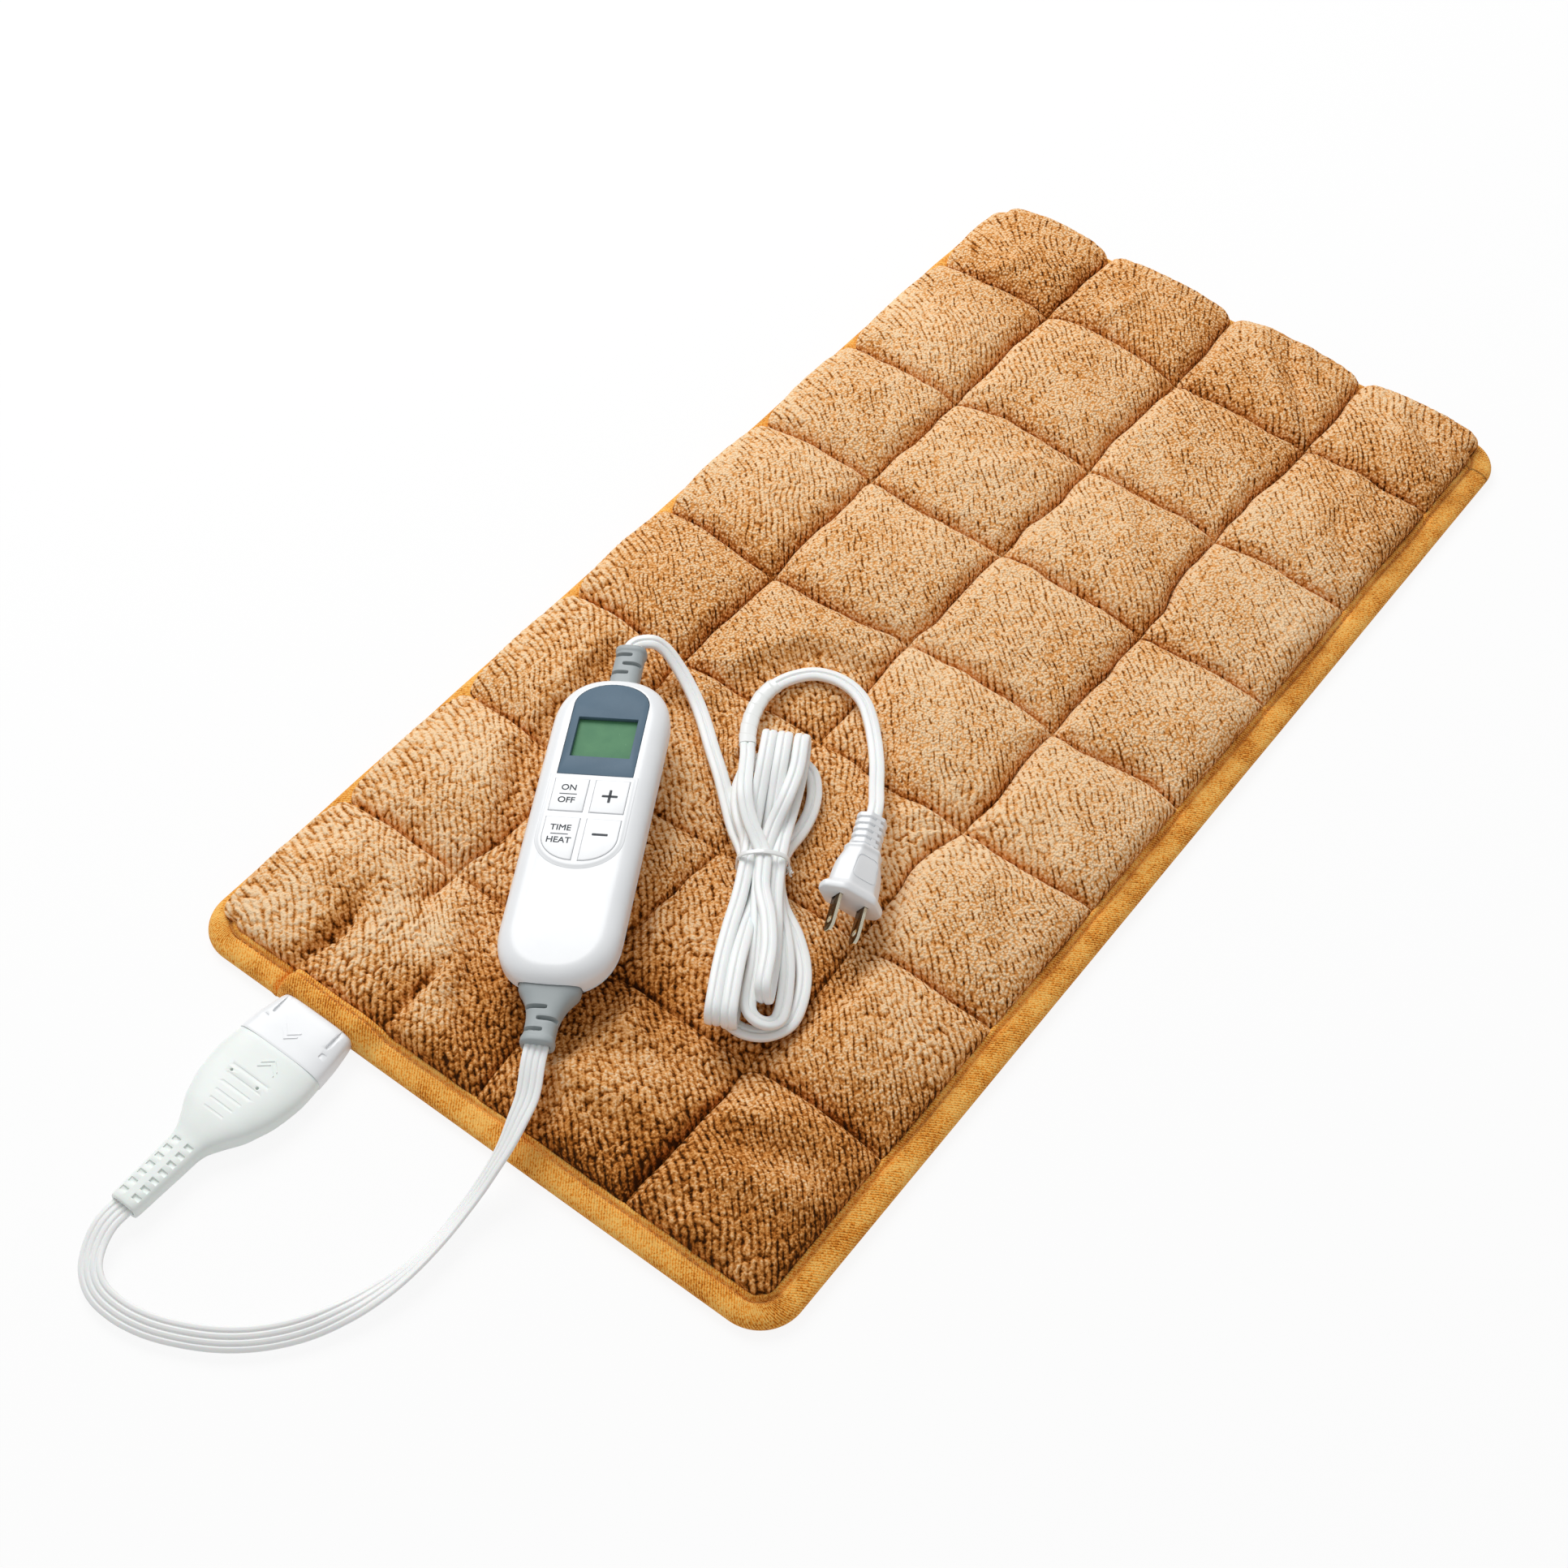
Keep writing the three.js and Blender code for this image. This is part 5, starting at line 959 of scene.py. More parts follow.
def make_plush():
    half, long = PAD_WIDTH / 2 - QUILT_INSET, PAD_LENGTH / 2 - QUILT_INSET
    across, lengthwise = seam_grid(SEAM_COLUMNS), seam_grid(SEAM_ROWS)
    x, y = np.meshgrid(across, lengthwise)
    flat = np.column_stack([x.ravel(), y.ravel()])
    height, dip, nearest = quilt(flat)
    climb_y, climb_x = np.gradient(height.reshape(x.shape), lengthwise, across)
    # How much each slope faces the lamp, for painted light on the pile.
    facing_lamp = (LIGHT_WAY[0] * climb_x + LIGHT_WAY[1] * climb_y).ravel()
    tone, parted = pile_tone_and_painted_light(flat, nearest, facing_lamp)
    stirred_and_shaded = pressed(flat)
    # Painted shade: darker in the cloth's dips beside the socket, and where the lead set lies, as its painted
    # shadow together with the pile that it stirs.
    tone -= 0.28 * dip + 0.14 * stirred_and_shaded
    parted += 0.1 * stirred_and_shaded
    places = knit_places(flat)
    tuft = tufts_of(places)
    stand = 0.35 + 1.05 * smoothstep(parted, 0.4, 0.6)
    height = height + (stand * (tuft - 0.5) + 0.5 * stir(flat, 5.2, 32)) * smoothstep(nearest, 0, 3)
    edge = np.minimum(half - np.abs(flat[:, 0]), long - np.abs(flat[:, 1]))
    drift = 8 * np.column_stack([stir(flat, (90, 45), 41), stir(flat, (45, 90), 42)])
    drift += 2.4 * np.column_stack([stir(flat, 13, 43), stir(flat, 13, 44)])
    spread = swollen(flat, half, long) + drift * smoothstep(edge, 0, 25)[:, None]
    spread = round_corners(spread, half + SWELL[1], long + SWELL[1], PAD_CORNER - QUILT_INSET)
    faces = grid_faces(len(lengthwise), len(across))
    sheet = make_piece("plush_top_sheet", np.column_stack([spread, height]), faces, FLEECE, "pad", "plush")
    # Painted shade in the seam creases: the pile is darkened right beside each seam, by a random share, and
    # less at the near end.
    hidden = 0.35 + 0.65 * value_noise(flat / 12, 51)
    soft = 1 - 0.75 * (1 - smoothstep(flat[:, 1], *NEAR_END))
    painted_crease_shade = hidden * soft * np.exp(-nearest / 0.9)
    # The nap attribute carries the pile tone with its painted light and shade.
    looks = {
        "nap": tone, "parted": parted, "tuft": tuft, "run": places[:, 0], "row": places[:, 1],
        "painted_crease_shade": painted_crease_shade}
    for name, values in looks.items():
        float_attribute(sheet, name, values)
    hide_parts("plush_top_panel")
    return sheet


def perimeter(step):
    """Points round the pad's edge with their outward directions and their distance along it."""
    half, long = PAD_WIDTH / 2 - PAD_CORNER, PAD_LENGTH / 2 - PAD_CORNER
    arc = math.pi / 2 * PAD_CORNER
    places = []
    corners = ((1, 1, 2 * half), (-1, 1, 2 * long), (-1, -1, 2 * half), (1, -1, 2 * long))
    for start, (sx, sy, side) in enumerate(corners):
        for angle in np.linspace(start, start + 1, max(6, int(arc / step))) * math.pi / 2:
            places.append((sx * half, sy * long, math.cos(angle), math.sin(angle)))
        out = np.array((math.cos((start + 1) * math.pi / 2), math.sin((start + 1) * math.pi / 2)))
        ahead = np.array((-out[1], out[0]))
        for reach in np.linspace(0, side, int(side / step))[1:-1]:
            corner = np.array((sx * half, sy * long)) + ahead * reach
            places.append((*corner, *out))
    places = np.array(places)
    edge = places[:, :2] + PAD_CORNER * places[:, 2:]
    return edge, places[:, 2:], distances(edge)


# Section of the folded tape from the bottom leg round the edge to the lip: inset from the edge, height
TAPE_SECTION = np.array([
    (12.3, 0.15), (6, 0.0), (2.2, 0.2), (0.8, 0.8), (0.1, 2.2), (0.0, 3.4), (0.5, 4.7), (1.7, 5.7),
    (3.4, 6.3), (5.4, 6.6), (7.4, 6.7), (8.8, 6.3), (9.5, 5.6), (9.9, 5.3), (10.3, 5.8), (11.0, 6.7),
    (11.8, 6.95), (12.5, 6.7), (12.9, 6.0), (12.8, 5.0),
])
GROOVE = 9.8
# The tape's joint: where its end lies over its start, how high it stands there, and where it lies flat again
JOINT_X = -101.5
JOINT_RISE = 6.8
JOINT_GAP = 3.8
JOINT_DOWN = (-64, -48)


def joint_rise(edge):
    """Lift of the tape where it runs over the socket, from its folded end on."""
    near = edge[:, 1] < -PAD_LENGTH / 2 + 1
    end = quarter_round(np.maximum(edge[:, 0] - JOINT_X, 0), 4.5)
    gap = JOINT_GAP * np.exp(-((edge[:, 0] - JOINT_X + 1.2) / 1.3) ** 2)
    return np.where(near, JOINT_RISE * end * (1 - smoothstep(edge[:, 0], *JOINT_DOWN)) - gap, 0)


def make_binding():
    edge, out, gone = perimeter(1.0)
    section = np.array([catmull(TAPE_SECTION, at) for at in np.linspace(0, len(TAPE_SECTION) - 1, 58)])
    swell, sway, pucker = [
        stir(np.column_stack([gone / grain, gone * 0 + line]), 1, seed)[:, None] * size
        for grain, line, seed, size in ((22, 0, 11, 1.0), (34, 3, 12, 1.2), (4.2, 7, 13, 0.5))]
    share = smoothstep(section[:, 1], 1, 5.6)[None, :]
    lip = smoothstep(section[:, 0], 8, 12.5)[None, :]
    inset = section[None, :, 0] + sway * share * smoothstep(section[:, 0], 0, 4)[None, :]
    rise = joint_rise(edge)[:, None] * share * (1 - 0.45 * lip)
    height = section[None, :, 1] + (swell + pucker * lip) * share + rise
    flat = edge[:, None] - out[:, None] * inset[..., None]
    points = np.concatenate([flat, height[..., None]], axis=-1).reshape(-1, 3)
    faces = grid_faces(len(edge), len(section), joined=True)
    tape = make_piece("edge_binding_tape", points, faces, TAPE, "pad", "binding")
    float_attribute(tape, "along", np.repeat(gone, len(section)))
    float_attribute(tape, "across", np.tile(distances(section), len(edge)))
    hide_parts("edge_binding")
    return tape


# One stitch of the thread: how far along it each ring lies, and the ring's size
STITCH_PITCH = 3.2
STITCH_HALF = 1.1
STITCH_RINGS = ((STITCH_HALF, 0.3), (0.7, 1), (0, 1.1), (-0.7, 1), (-STITCH_HALF, 0.3))
STITCH_HEIGHT = 5.6
STITCH_SAG = 0.25
STITCH_LIFT = 0.8
THREAD_HALF = (0.26, 0.2)


def make_stitches():
    """Lock stitches that lie in the groove of the binding."""
    edge, out, _ = perimeter(STITCH_PITCH)
    ring = superellipse(*THREAD_HALF, 2, 6)
    solids = []
    for spot, outward, lifted in zip(edge, out, joint_rise(edge) * STITCH_LIFT):
        middle = spot - outward * GROOVE
        ahead = np.array((-outward[1], outward[0]))
        rings = []
        for reach, size in STITCH_RINGS:
            lift = STITCH_HEIGHT - STITCH_SAG * (reach / STITCH_HALF) ** 2 + lifted
            at = np.array((*(middle + ahead * reach), lift))
            across, up = ring[:, :1] * np.array((*outward, 0)), ring[:, 1:] * np.array((0, 0, 1))
            rings.append(at + size * (across + up))
        solids.append(loft(rings))
    return make_piece("binding_stitches", *merge(solids), THREAD, "pad", "binding")


BACK_INSET = 5
BACK_GRID = (100, 200)
BACK_RISE = 0.9


def make_back():
    """Plain back cloth, drawn up a little along the quilting seams."""
    half, long = PAD_WIDTH / 2 - BACK_INSET, PAD_LENGTH / 2 - BACK_INSET
    columns, rows = BACK_GRID
    x, y = np.meshgrid(np.linspace(-half, half, columns), np.linspace(-long, long, rows))
    flat = round_corners(np.column_stack([x.ravel(), y.ravel()]), half, long, PAD_CORNER - BACK_INSET)
    nearest = np.minimum(seam_distance(flat[:, 0], SEAM_COLUMNS), seam_distance(flat[:, 1], SEAM_ROWS))
    edge = np.minimum(half - np.abs(flat[:, 0]), long - np.abs(flat[:, 1]))
    lift = np.where(edge < 8.5, 1.0, BACK_RISE * np.exp(-nearest / 4))
    faces = grid_faces(rows, columns)[:, ::-1]
    sheet = make_piece("back_sheet", np.column_stack([flat, lift]), faces, BACKING, "pad", "backing")
    float_attribute(sheet, "along", flat[:, 1])
    float_attribute(sheet, "across", flat[:, 0])
    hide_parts("back_panel")
    return sheet


# Connector: the pad's socket and the cord's body that draws out of it

SOCKET_FACE = -327
CONNECTOR_TOP = CONNECTOR_Z + 6
MOULD_SIDES = 48
NOSE_HALF = (16.5, 3.7)
NOSE_DEPTH = 13
NOSE_GAP = 0.3
NOSE_EDGE = 0.4
BORE_RADIUS = 1.5
PIN_COUNT = 4
PIN_PITCH = 7
# Chevrons: half width, rise, stroke, how far the second lies behind the first, and the first tip's place
ARROW_HALF = 4.2
ARROW_RISE = 3.6
ARROW_STROKE = 0.6
ARROW_STEP = 2.2
ARROW_TIP = 3.2
ARROW_PROUD = 0.3
# Sunk marks on both sides of the socket's top: outline, place across and along, and depth
SOCKET_MARKS = (
    (superellipse(1.0, 7.5, 5, 24), 14.4, -307.5, 1.7),
    (superellipse(3.0, 1.3, 6, 20), 17.4, -318.4, 0.8),
)
# Cutters reach up to here, clear of the moulding
CUT_TOP = 20


def make_arrows(name, x, y, point, finish, body, slot):
    """Two thin chevrons that stand proud of a moulding's top and point along y, by the sign of point."""
    solids = []
    for step in (0, ARROW_STEP):
        tip = y + point * (ARROW_TIP - step)
        outline = []
        for back, order in ((0, (-1, 0, 1)), (ARROW_STROKE, (1, 0, -1))):
            for side in order:
                behind = back + ARROW_RISE * abs(side)
                outline.append((x + side * ARROW_HALF, tip - point * behind))
        if point > 0:
            outline = outline[::-1]
        solids.append(prism(outline, CONNECTOR_TOP - 0.5, CONNECTOR_TOP + ARROW_PROUD))
    return make_piece(name, *merge(solids), finish, body, slot, sharp=40)


# Socket and connector: distance along the pad, half width and half height
SOCKET_STATIONS = (
    (-303, 17.4, 4.2), (-307, 18.6, 5.5), (-315.5, 20.3, 6), (-322, 21.1, 6), (SOCKET_FACE, 21.5, 6),
)
CONNECTOR_STATIONS = (
    (SOCKET_FACE - 0.08, 21.5, 6), (-338, 22.3, 6), (-350, 20.9, 6), (-358, 18.3, 6), (-364, 15.7, 5.9),
    (-371, 11.2, 5.3), (-378, 7.9, 4.4), (-388, 7.4, 4.3), (-400, 7.0, 4.3), (-410.5, 6.7, 4.3),
    (CONNECTOR_TIP, 6.2, 3.9),
)


def make_socket():
    solid = drawn_body(eased(SOCKET_STATIONS, 3), 4.2, MOULD_SIDES, CONNECTOR_MIDDLE)
    shell = make_piece("socket_moulding", *solid, WHITE, "pad", "shell", sharp=40)
    wide, tall = NOSE_HALF[0] + NOSE_GAP, NOSE_HALF[1] + NOSE_GAP
    cutters = [box_solid(
        (CONNECTOR_X - wide, SOCKET_FACE - 2, CONNECTOR_Z - tall),
        (CONNECTOR_X + wide, SOCKET_FACE + NOSE_DEPTH + NOSE_GAP, CONNECTOR_Z + tall))]
    for side in (-1, 1):
        for outline, across, along, depth in SOCKET_MARKS:
            mark = outline + (CONNECTOR_X + side * across, along)
            cutters.append(prism(mark, CONNECTOR_TOP - depth, CUT_TOP))
    carve(shell, cutters)
    soften(shell, 0.2)
    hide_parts("socket_shell")
    make_arrows("socket_arrows", CONNECTOR_X - 2, -319, -1, WHITE, "pad", "shell")


def make_nose():
    """The part of the connector that enters the socket, with a bore for each contact sleeve."""
    wide, tall = NOSE_HALF
    mouth = SOCKET_FACE + NOSE_DEPTH
    stations = [
        (mouth, wide - NOSE_EDGE, tall - NOSE_EDGE), (mouth - NOSE_EDGE, wide, tall),
        (SOCKET_FACE - 1, wide, tall)]
    solid = drawn_body(stations, 8, MOULD_SIDES, CONNECTOR_MIDDLE)
    nose = make_piece("connector_nose", *solid, CREAM, "lead_set", "cream", sharp=40)
    bore = superellipse(BORE_RADIUS, BORE_RADIUS, 2, 24)
    cutters = []
    for pin in range(PIN_COUNT):
        middle = (CONNECTOR_X + (pin - (PIN_COUNT - 1) / 2) * PIN_PITCH, 0, CONNECTOR_Z)
        cutters.append(loft([upright_ring(bore, y, middle) for y in (mouth + 2, SOCKET_FACE + 1)]))
    carve(nose, cutters)
    return nose


def cord_mouth(wide, thick, ends, middle=(0, 0, 0)):
    """A cutter for the opening that a cord passes through, half a millimetre clear of it all round."""
    mouth = superellipse(wide / 2 + 0.5, thick / 2 + 0.5, 4, 20)
    return loft([upright_ring(mouth, y, middle) for y in ends])


# Pockets of the connector's strain relief, and the grip bars and dimples on its top
POCKET_ROWS = 7
POCKET_START = -380.2
POCKET_PITCH = 4.6
POCKET_HALF = np.array((1.8, 1.1, 1.0))
POCKET_PLACE = (3.3, 4.4)
GRIP_BARS = 6
GRIP_START = -342.6
GRIP_PITCH = 4.1
GRIP_DEPTH = 0.16
GRIP_HALF = 9.5
GRIP_TAPER = 0.9
GRIP_STROKE = 0.5
GRIP_TOP = 14
DIMPLE_PLACES = (-8, 6)
DIMPLE_LINE = -345
DIMPLE_RADIUS = 0.75
DIMPLE_FLOOR = 10


def make_connector():
    solid = drawn_body(eased(CONNECTOR_STATIONS, 4), 3.2, MOULD_SIDES, CONNECTOR_MIDDLE)
    body = make_piece("connector_moulding", *solid, CREAM, "lead_set", "cream", sharp=45)
    cutters = []
    for row in range(POCKET_ROWS):
        for side in (-1, 1):
            for top in (1, -1):
                middle = np.array((
                    CONNECTOR_X + side * POCKET_PLACE[0], POCKET_START - row * POCKET_PITCH,
                    CONNECTOR_Z + top * POCKET_PLACE[1]))
                cutters.append(box_solid(middle - POCKET_HALF, middle + POCKET_HALF))
    ends = (CONNECTOR_TIP + 3, CONNECTOR_TIP - 2)
    cutters.append(cord_mouth(HEATER_WIDTH, HEATER_THICK, ends, CONNECTOR_MIDDLE))
    for x in DIMPLE_PLACES:
        dimple = superellipse(DIMPLE_RADIUS, DIMPLE_RADIUS, 2, 12) + (CONNECTOR_X + x, DIMPLE_LINE)
        cutters.append(prism(dimple, DIMPLE_FLOOR, GRIP_TOP))
    for i in range(GRIP_BARS):
        bar = superellipse(GRIP_HALF - GRIP_TAPER * i, GRIP_STROKE, 8, 24)
        bar += (CONNECTOR_X, GRIP_START - i * GRIP_PITCH)
        cutters.append(prism(bar, CONNECTOR_TOP - GRIP_DEPTH, GRIP_TOP))
    carve(body, cutters)
    soften(body, 0.18)
    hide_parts("connector_body")
    return body, make_arrows("connector_arrows", CONNECTOR_X + 3, -334.5, 1, CREAM, "lead_set", "cream")


# Controller

HALF_WIDTH = 25.5
HEIGHT = 11
END = 27
END_POWER = 2.4
TOP_ROUND = 8
KEEL = 9.2
# Lean of the lower shell's wall: share of the height below the parting line, and share of the keel's inset
KEEL_LEAN = ((0.9, 0.8), (0.78, 0.66), (0.66, 0.52), (0.48, 0.35), (0.3, 0.2), (0.15, 0.09))
# Keys: their rows' ends, and the round lower corner of the two keys in the lower row
KEY_INNER = 1.4
KEY_OUTER = 16.2
KEY_UPPER_ROW = (3.3, 20.8)
KEY_LOWER_END = -22
KEY_CURVE = 12
KEY_GAP = 0.15
KEY_BASE = 8.0
KEY_TOP = 11.9
KEY_WELL = 6.4
KEYS = (("on_off", -1, True), ("plus", 1, True), ("time_heat", -1, False), ("minus", 1, False))
# The plate under the keys swells softly out of the housing: how far each ring reaches out, and its height
PLATE_HALF = 17.4
PLATE_TOP = 22
PLATE_CURVE = 14.2
PLATE_RINGS = ((1.9, 10.6), (1.7, 11.0), (1.2, 11.06), (0.7, 11.2), (0.3, 11.36), (-0.1, 11.46), (-0.6, 11.5))
# Display: half width, lower end, top and rise of the arch, for the face and its recess; then window and panel
BEZEL = (16.4, 24.0, 74.8, 12)
BEZEL_RECESS = (16.7, 23.7, 75.1, 12.2)
RECESS_FLOOR = 8.0
WINDOW_HALF = 13.1
WINDOW_ENDS = (34.0, 55.8)
PANEL_BORDER = 1.6
# Strain reliefs: name, node, side, reach, half width and half height at the housing, and the cord's two sizes
GLANDS = (
    ("cord_relief_top", "top_strain_relief", 1, TOP_REACH, 6.5, 4.8, JACKET_WIDTH, JACKET_THICK),
    ("cord_relief_bottom", "bottom_strain_relief", -1, BOTTOM_REACH, 12.8, 6, HEATER_WIDTH, HEATER_THICK),
)
GLAND_SEATS = ((1, TOP_REACH, 6.9, 5.2), (-1, BOTTOM_REACH, 13.3, 6.5))
GLAND_NECK = (6.5, 4.8)
GLAND_LIP = (0.5, 0.4)
# Flare of a strain relief: share of its reach, and shares of its width and height over the neck's
GLAND_FLARE = ((0.14, 0.62, 0.7), (0.3, 0.28, 0.36), (0.48, 0.07, 0.1), (0.66, 0, 0), (0.84, 0, 0))
GLAND_SLOTS = 3
GLAND_SLOT_PITCH = 5.2
GLAND_SLOT_END = 5.6
GLAND_SLOT_HALF = (5.4, 1.05)
GLAND_SLOT_SHIFT = 3.6
GLAND_SLOT_BITE = 0.2
GLAND_SLOT_TOP = 9
GLAND_SIDES = 40


def housing_outline(inset, steps=26):
    half, straight, end = HALF_WIDTH - inset, HALF_LENGTH - END, END - inset
    points = []
    for sign in (1, -1):
        for angle in np.linspace(0, math.pi, steps + 1):
            c, s = math.cos(angle), math.sin(angle)
            x = half * math.copysign(abs(c) ** (2 / END_POWER), c)
            points.append((sign * x, sign * (straight + end * abs(s) ** (2 / END_POWER))))
    return np.array(points)


def housing_solid(levels):
    return loft([level_ring(housing_outline(inset), z) for z, inset in levels])


def rounded_top(low, high, round_in, steps=10):
    levels = [(low, 0.25), (low + 0.25, 0), (low + 2, 0)]
    for angle in np.linspace(0, math.pi / 2, steps + 1):
        z = high - round_in * 0.85 * (1 - math.sin(angle))
        levels.append((z, round_in * (1 - math.cos(angle))))
    return levels


def arch(half, bottom, top, rise, steps=20):
    angles = np.linspace(0, math.pi, steps + 1)
    curve = [(half * math.cos(angle), top - rise + rise * math.sin(angle)) for angle in angles]
    return np.array([(-half, bottom), (half, bottom)] + curve)


def key_outline(side, upper, grow=0.0):
    inner, outer = KEY_INNER - grow, KEY_OUTER + grow
    if upper:
        low, high = KEY_UPPER_ROW[0] - grow, KEY_UPPER_ROW[1] + grow
        points = [(inner, low), (outer, low), (outer, high), (inner, high)]
    else:
        points = [(inner, grow), (inner, KEY_LOWER_END - grow)]
        wide, tall = KEY_OUTER - KEY_INNER + grow, KEY_CURVE + grow
        for angle in np.linspace(0, math.pi / 2, 10)[1:]:
            across = KEY_INNER + wide * math.sin(angle)
            points.append((across, KEY_LOWER_END + KEY_CURVE - tall * math.cos(angle)))
        points.append((outer, grow))
    points = np.array(points) * (side, 1)
    twice_area = np.sum(points[:, 0] * np.roll(points[:, 1], -1) - np.roll(points[:, 0], -1) * points[:, 1])
    return points if twice_area > 0 else points[::-1]


def plate_outline(grow):
    wide, tall, top = PLATE_HALF + grow, PLATE_CURVE + grow, PLATE_TOP + grow
    middle = KEY_LOWER_END + KEY_CURVE
    angles = np.linspace(math.pi, 2 * math.pi, 40)
    lower = [(wide * math.cos(angle), middle + tall * math.sin(angle)) for angle in angles]
    return np.array(lower + [(wide, top), (-wide, top)])


def gland_body(sign, reach, wide, tall):
    """A strain relief that flares from its neck to the housing, along the controller's y by the sign."""
    neck_wide, neck_tall = GLAND_NECK
    flare = lambda share: neck_wide + (wide - neck_wide) * share
    rise = lambda share: neck_tall + (tall - neck_tall) * share
    lip_wide, lip_tall = neck_wide + GLAND_LIP[0], neck_tall + GLAND_LIP[1]
    tip = HALF_LENGTH + reach
    stations = [(HALF_LENGTH - 6, flare(1), rise(1)), (HALF_LENGTH, flare(0.98), rise(0.98))]
    stations += [(HALF_LENGTH + far * reach, flare(across), rise(up)) for far, across, up in GLAND_FLARE]
    stations += [(HALF_LENGTH + 0.9 * reach, lip_wide, lip_tall), (tip - 0.6, lip_wide, lip_tall)]
    stations.append((tip, neck_wide, neck_tall))
    placed = [(sign * y, half_x, half_z) for y, half_x, half_z in stations]
    return drawn_body(eased(placed[::-1] if sign > 0 else placed, 3), 3, GLAND_SIDES)


def make_gland(name, node, sign, reach, wide, tall, cord_wide, cord_thick):
    solid = gland_body(sign, reach, wide, tall)
    gland = make_piece(name, *solid, GREY, "lead_set", "grey", CONTROLLER, sharp=45)
    tip = HALF_LENGTH + reach
    cutters = []
    for i in range(GLAND_SLOTS):
        y = sign * (tip - GLAND_SLOT_END - i * GLAND_SLOT_PITCH)
        side = -1 if i % 2 == 0 else 1
        for flip in (-1, 1):
            outline = superellipse(*GLAND_SLOT_HALF, 5, 20) + (side * GLAND_SLOT_SHIFT, y)
            low, high = sorted((flip * (cord_thick / 2 - GLAND_SLOT_BITE), flip * GLAND_SLOT_TOP))
            cutters.append(prism(outline, low, high))
    ends = (tip + 2, tip - 2.4) if sign > 0 else (-tip + 2.4, -tip - 2)
    cutters.append(cord_mouth(cord_wide, cord_thick, ends))
    carve(gland, cutters, CONTROLLER)
    soften(gland, 0.3)
    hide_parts(node)


def make_controller():
    solid = housing_solid(rounded_top(0.15, HEIGHT, TOP_ROUND))
    upper = make_piece("controller_upper_shell", *solid, WHITE, "lead_set", "shell", CONTROLLER, sharp=40)
    face_cutters = [prism(arch(*BEZEL_RECESS), RECESS_FLOOR, CUT_TOP)]
    for _, side, upper_row in KEYS:
        face_cutters.append(prism(key_outline(side, upper_row, KEY_GAP), KEY_WELL, CUT_TOP))
    gland_cutters = [gland_body(*seat) for seat in GLAND_SEATS]
    solid = loft([level_ring(plate_outline(grow), z) for grow, z in PLATE_RINGS])
    plate = make_piece("key_plate", *solid, WHITE, "lead_set", "shell", CONTROLLER, sharp=60)
    carve(plate, face_cutters, CONTROLLER, 60)
    carve(upper, face_cutters + gland_cutters, CONTROLLER)
    soften(upper, 0.25, angle=50)
    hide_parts("upper_housing")

    levels = [(-HEIGHT, KEEL), (-HEIGHT + 0.3, KEEL - 0.7)]
    levels += [(-HEIGHT * share, KEEL * lean) for share, lean in KEEL_LEAN]
    levels += [(-0.75, 0.1), (-0.7, 0.8), (0.3, 0.8)]
    solid = housing_solid(levels)
    lower = make_piece("controller_lower_shell", *solid, WHITE, "lead_set", "shell", CONTROLLER, sharp=40)
    carve(lower, gland_cutters, CONTROLLER)
    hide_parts("lower_housing")

    solid = prism(arch(*BEZEL), 8.9, HEIGHT - 0.05)
    bezel = make_piece("display_face", *solid, SLATE, "lead_set", "slate", CONTROLLER, sharp=40)
    low, high = WINDOW_ENDS
    carve(bezel, [box_solid((-WINDOW_HALF, low, 0), (WINDOW_HALF, high, CUT_TOP))], CONTROLLER)
    soften(bezel, 0.2)
    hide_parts("display_bezel")
    half = WINDOW_HALF + PANEL_BORDER
    solid = box_solid((-half, low - PANEL_BORDER, 2.4), (half, high + PANEL_BORDER, 8.7))
    crystal = make_piece("display_panel", *solid, CRYSTAL, "lead_set", "display", CONTROLLER, sharp=40)
    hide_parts("lcd_module")
    for gland in GLANDS:
        make_gland(*gland)


def make_keys():
    for name, side, upper_row in KEYS:
        solid = prism(key_outline(side, upper_row), KEY_BASE, KEY_TOP)
        cap = make_piece(f"key_{name}", *solid, WHITE, f"{name}_key", "shell", CONTROLLER, sharp=40)
        soften(cap, 0.45, segments=4)
        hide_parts(f"button_{name}")


# Lettering printed on the keys: word, key, middle across and along
LETTER_HEIGHT = 3.0
SIZE_BY_HEIGHT = 1.42
WORDS = (
    ("ON", "on_off", -9.4, 15.7), ("OFF", "on_off", -9.4, 9.0),
    ("TIME", "time_heat", -8.8, -5.7), ("HEAT", "time_heat", -8.6, -12.2),
)
# Bars printed on the keys: key, middle across and along, length and width
BARS = (
    ("on_off", -9.2, 12.35, 7.6, 0.45), ("time_heat", -8.8, -8.95, 7.6, 0.45),
    ("plus", 8.8, 12.2, 6.8, 1.2), ("plus", 8.8, 12.2, 1.2, 6.8), ("minus", 8.4, -8.2, 6.8, 1.2),
)


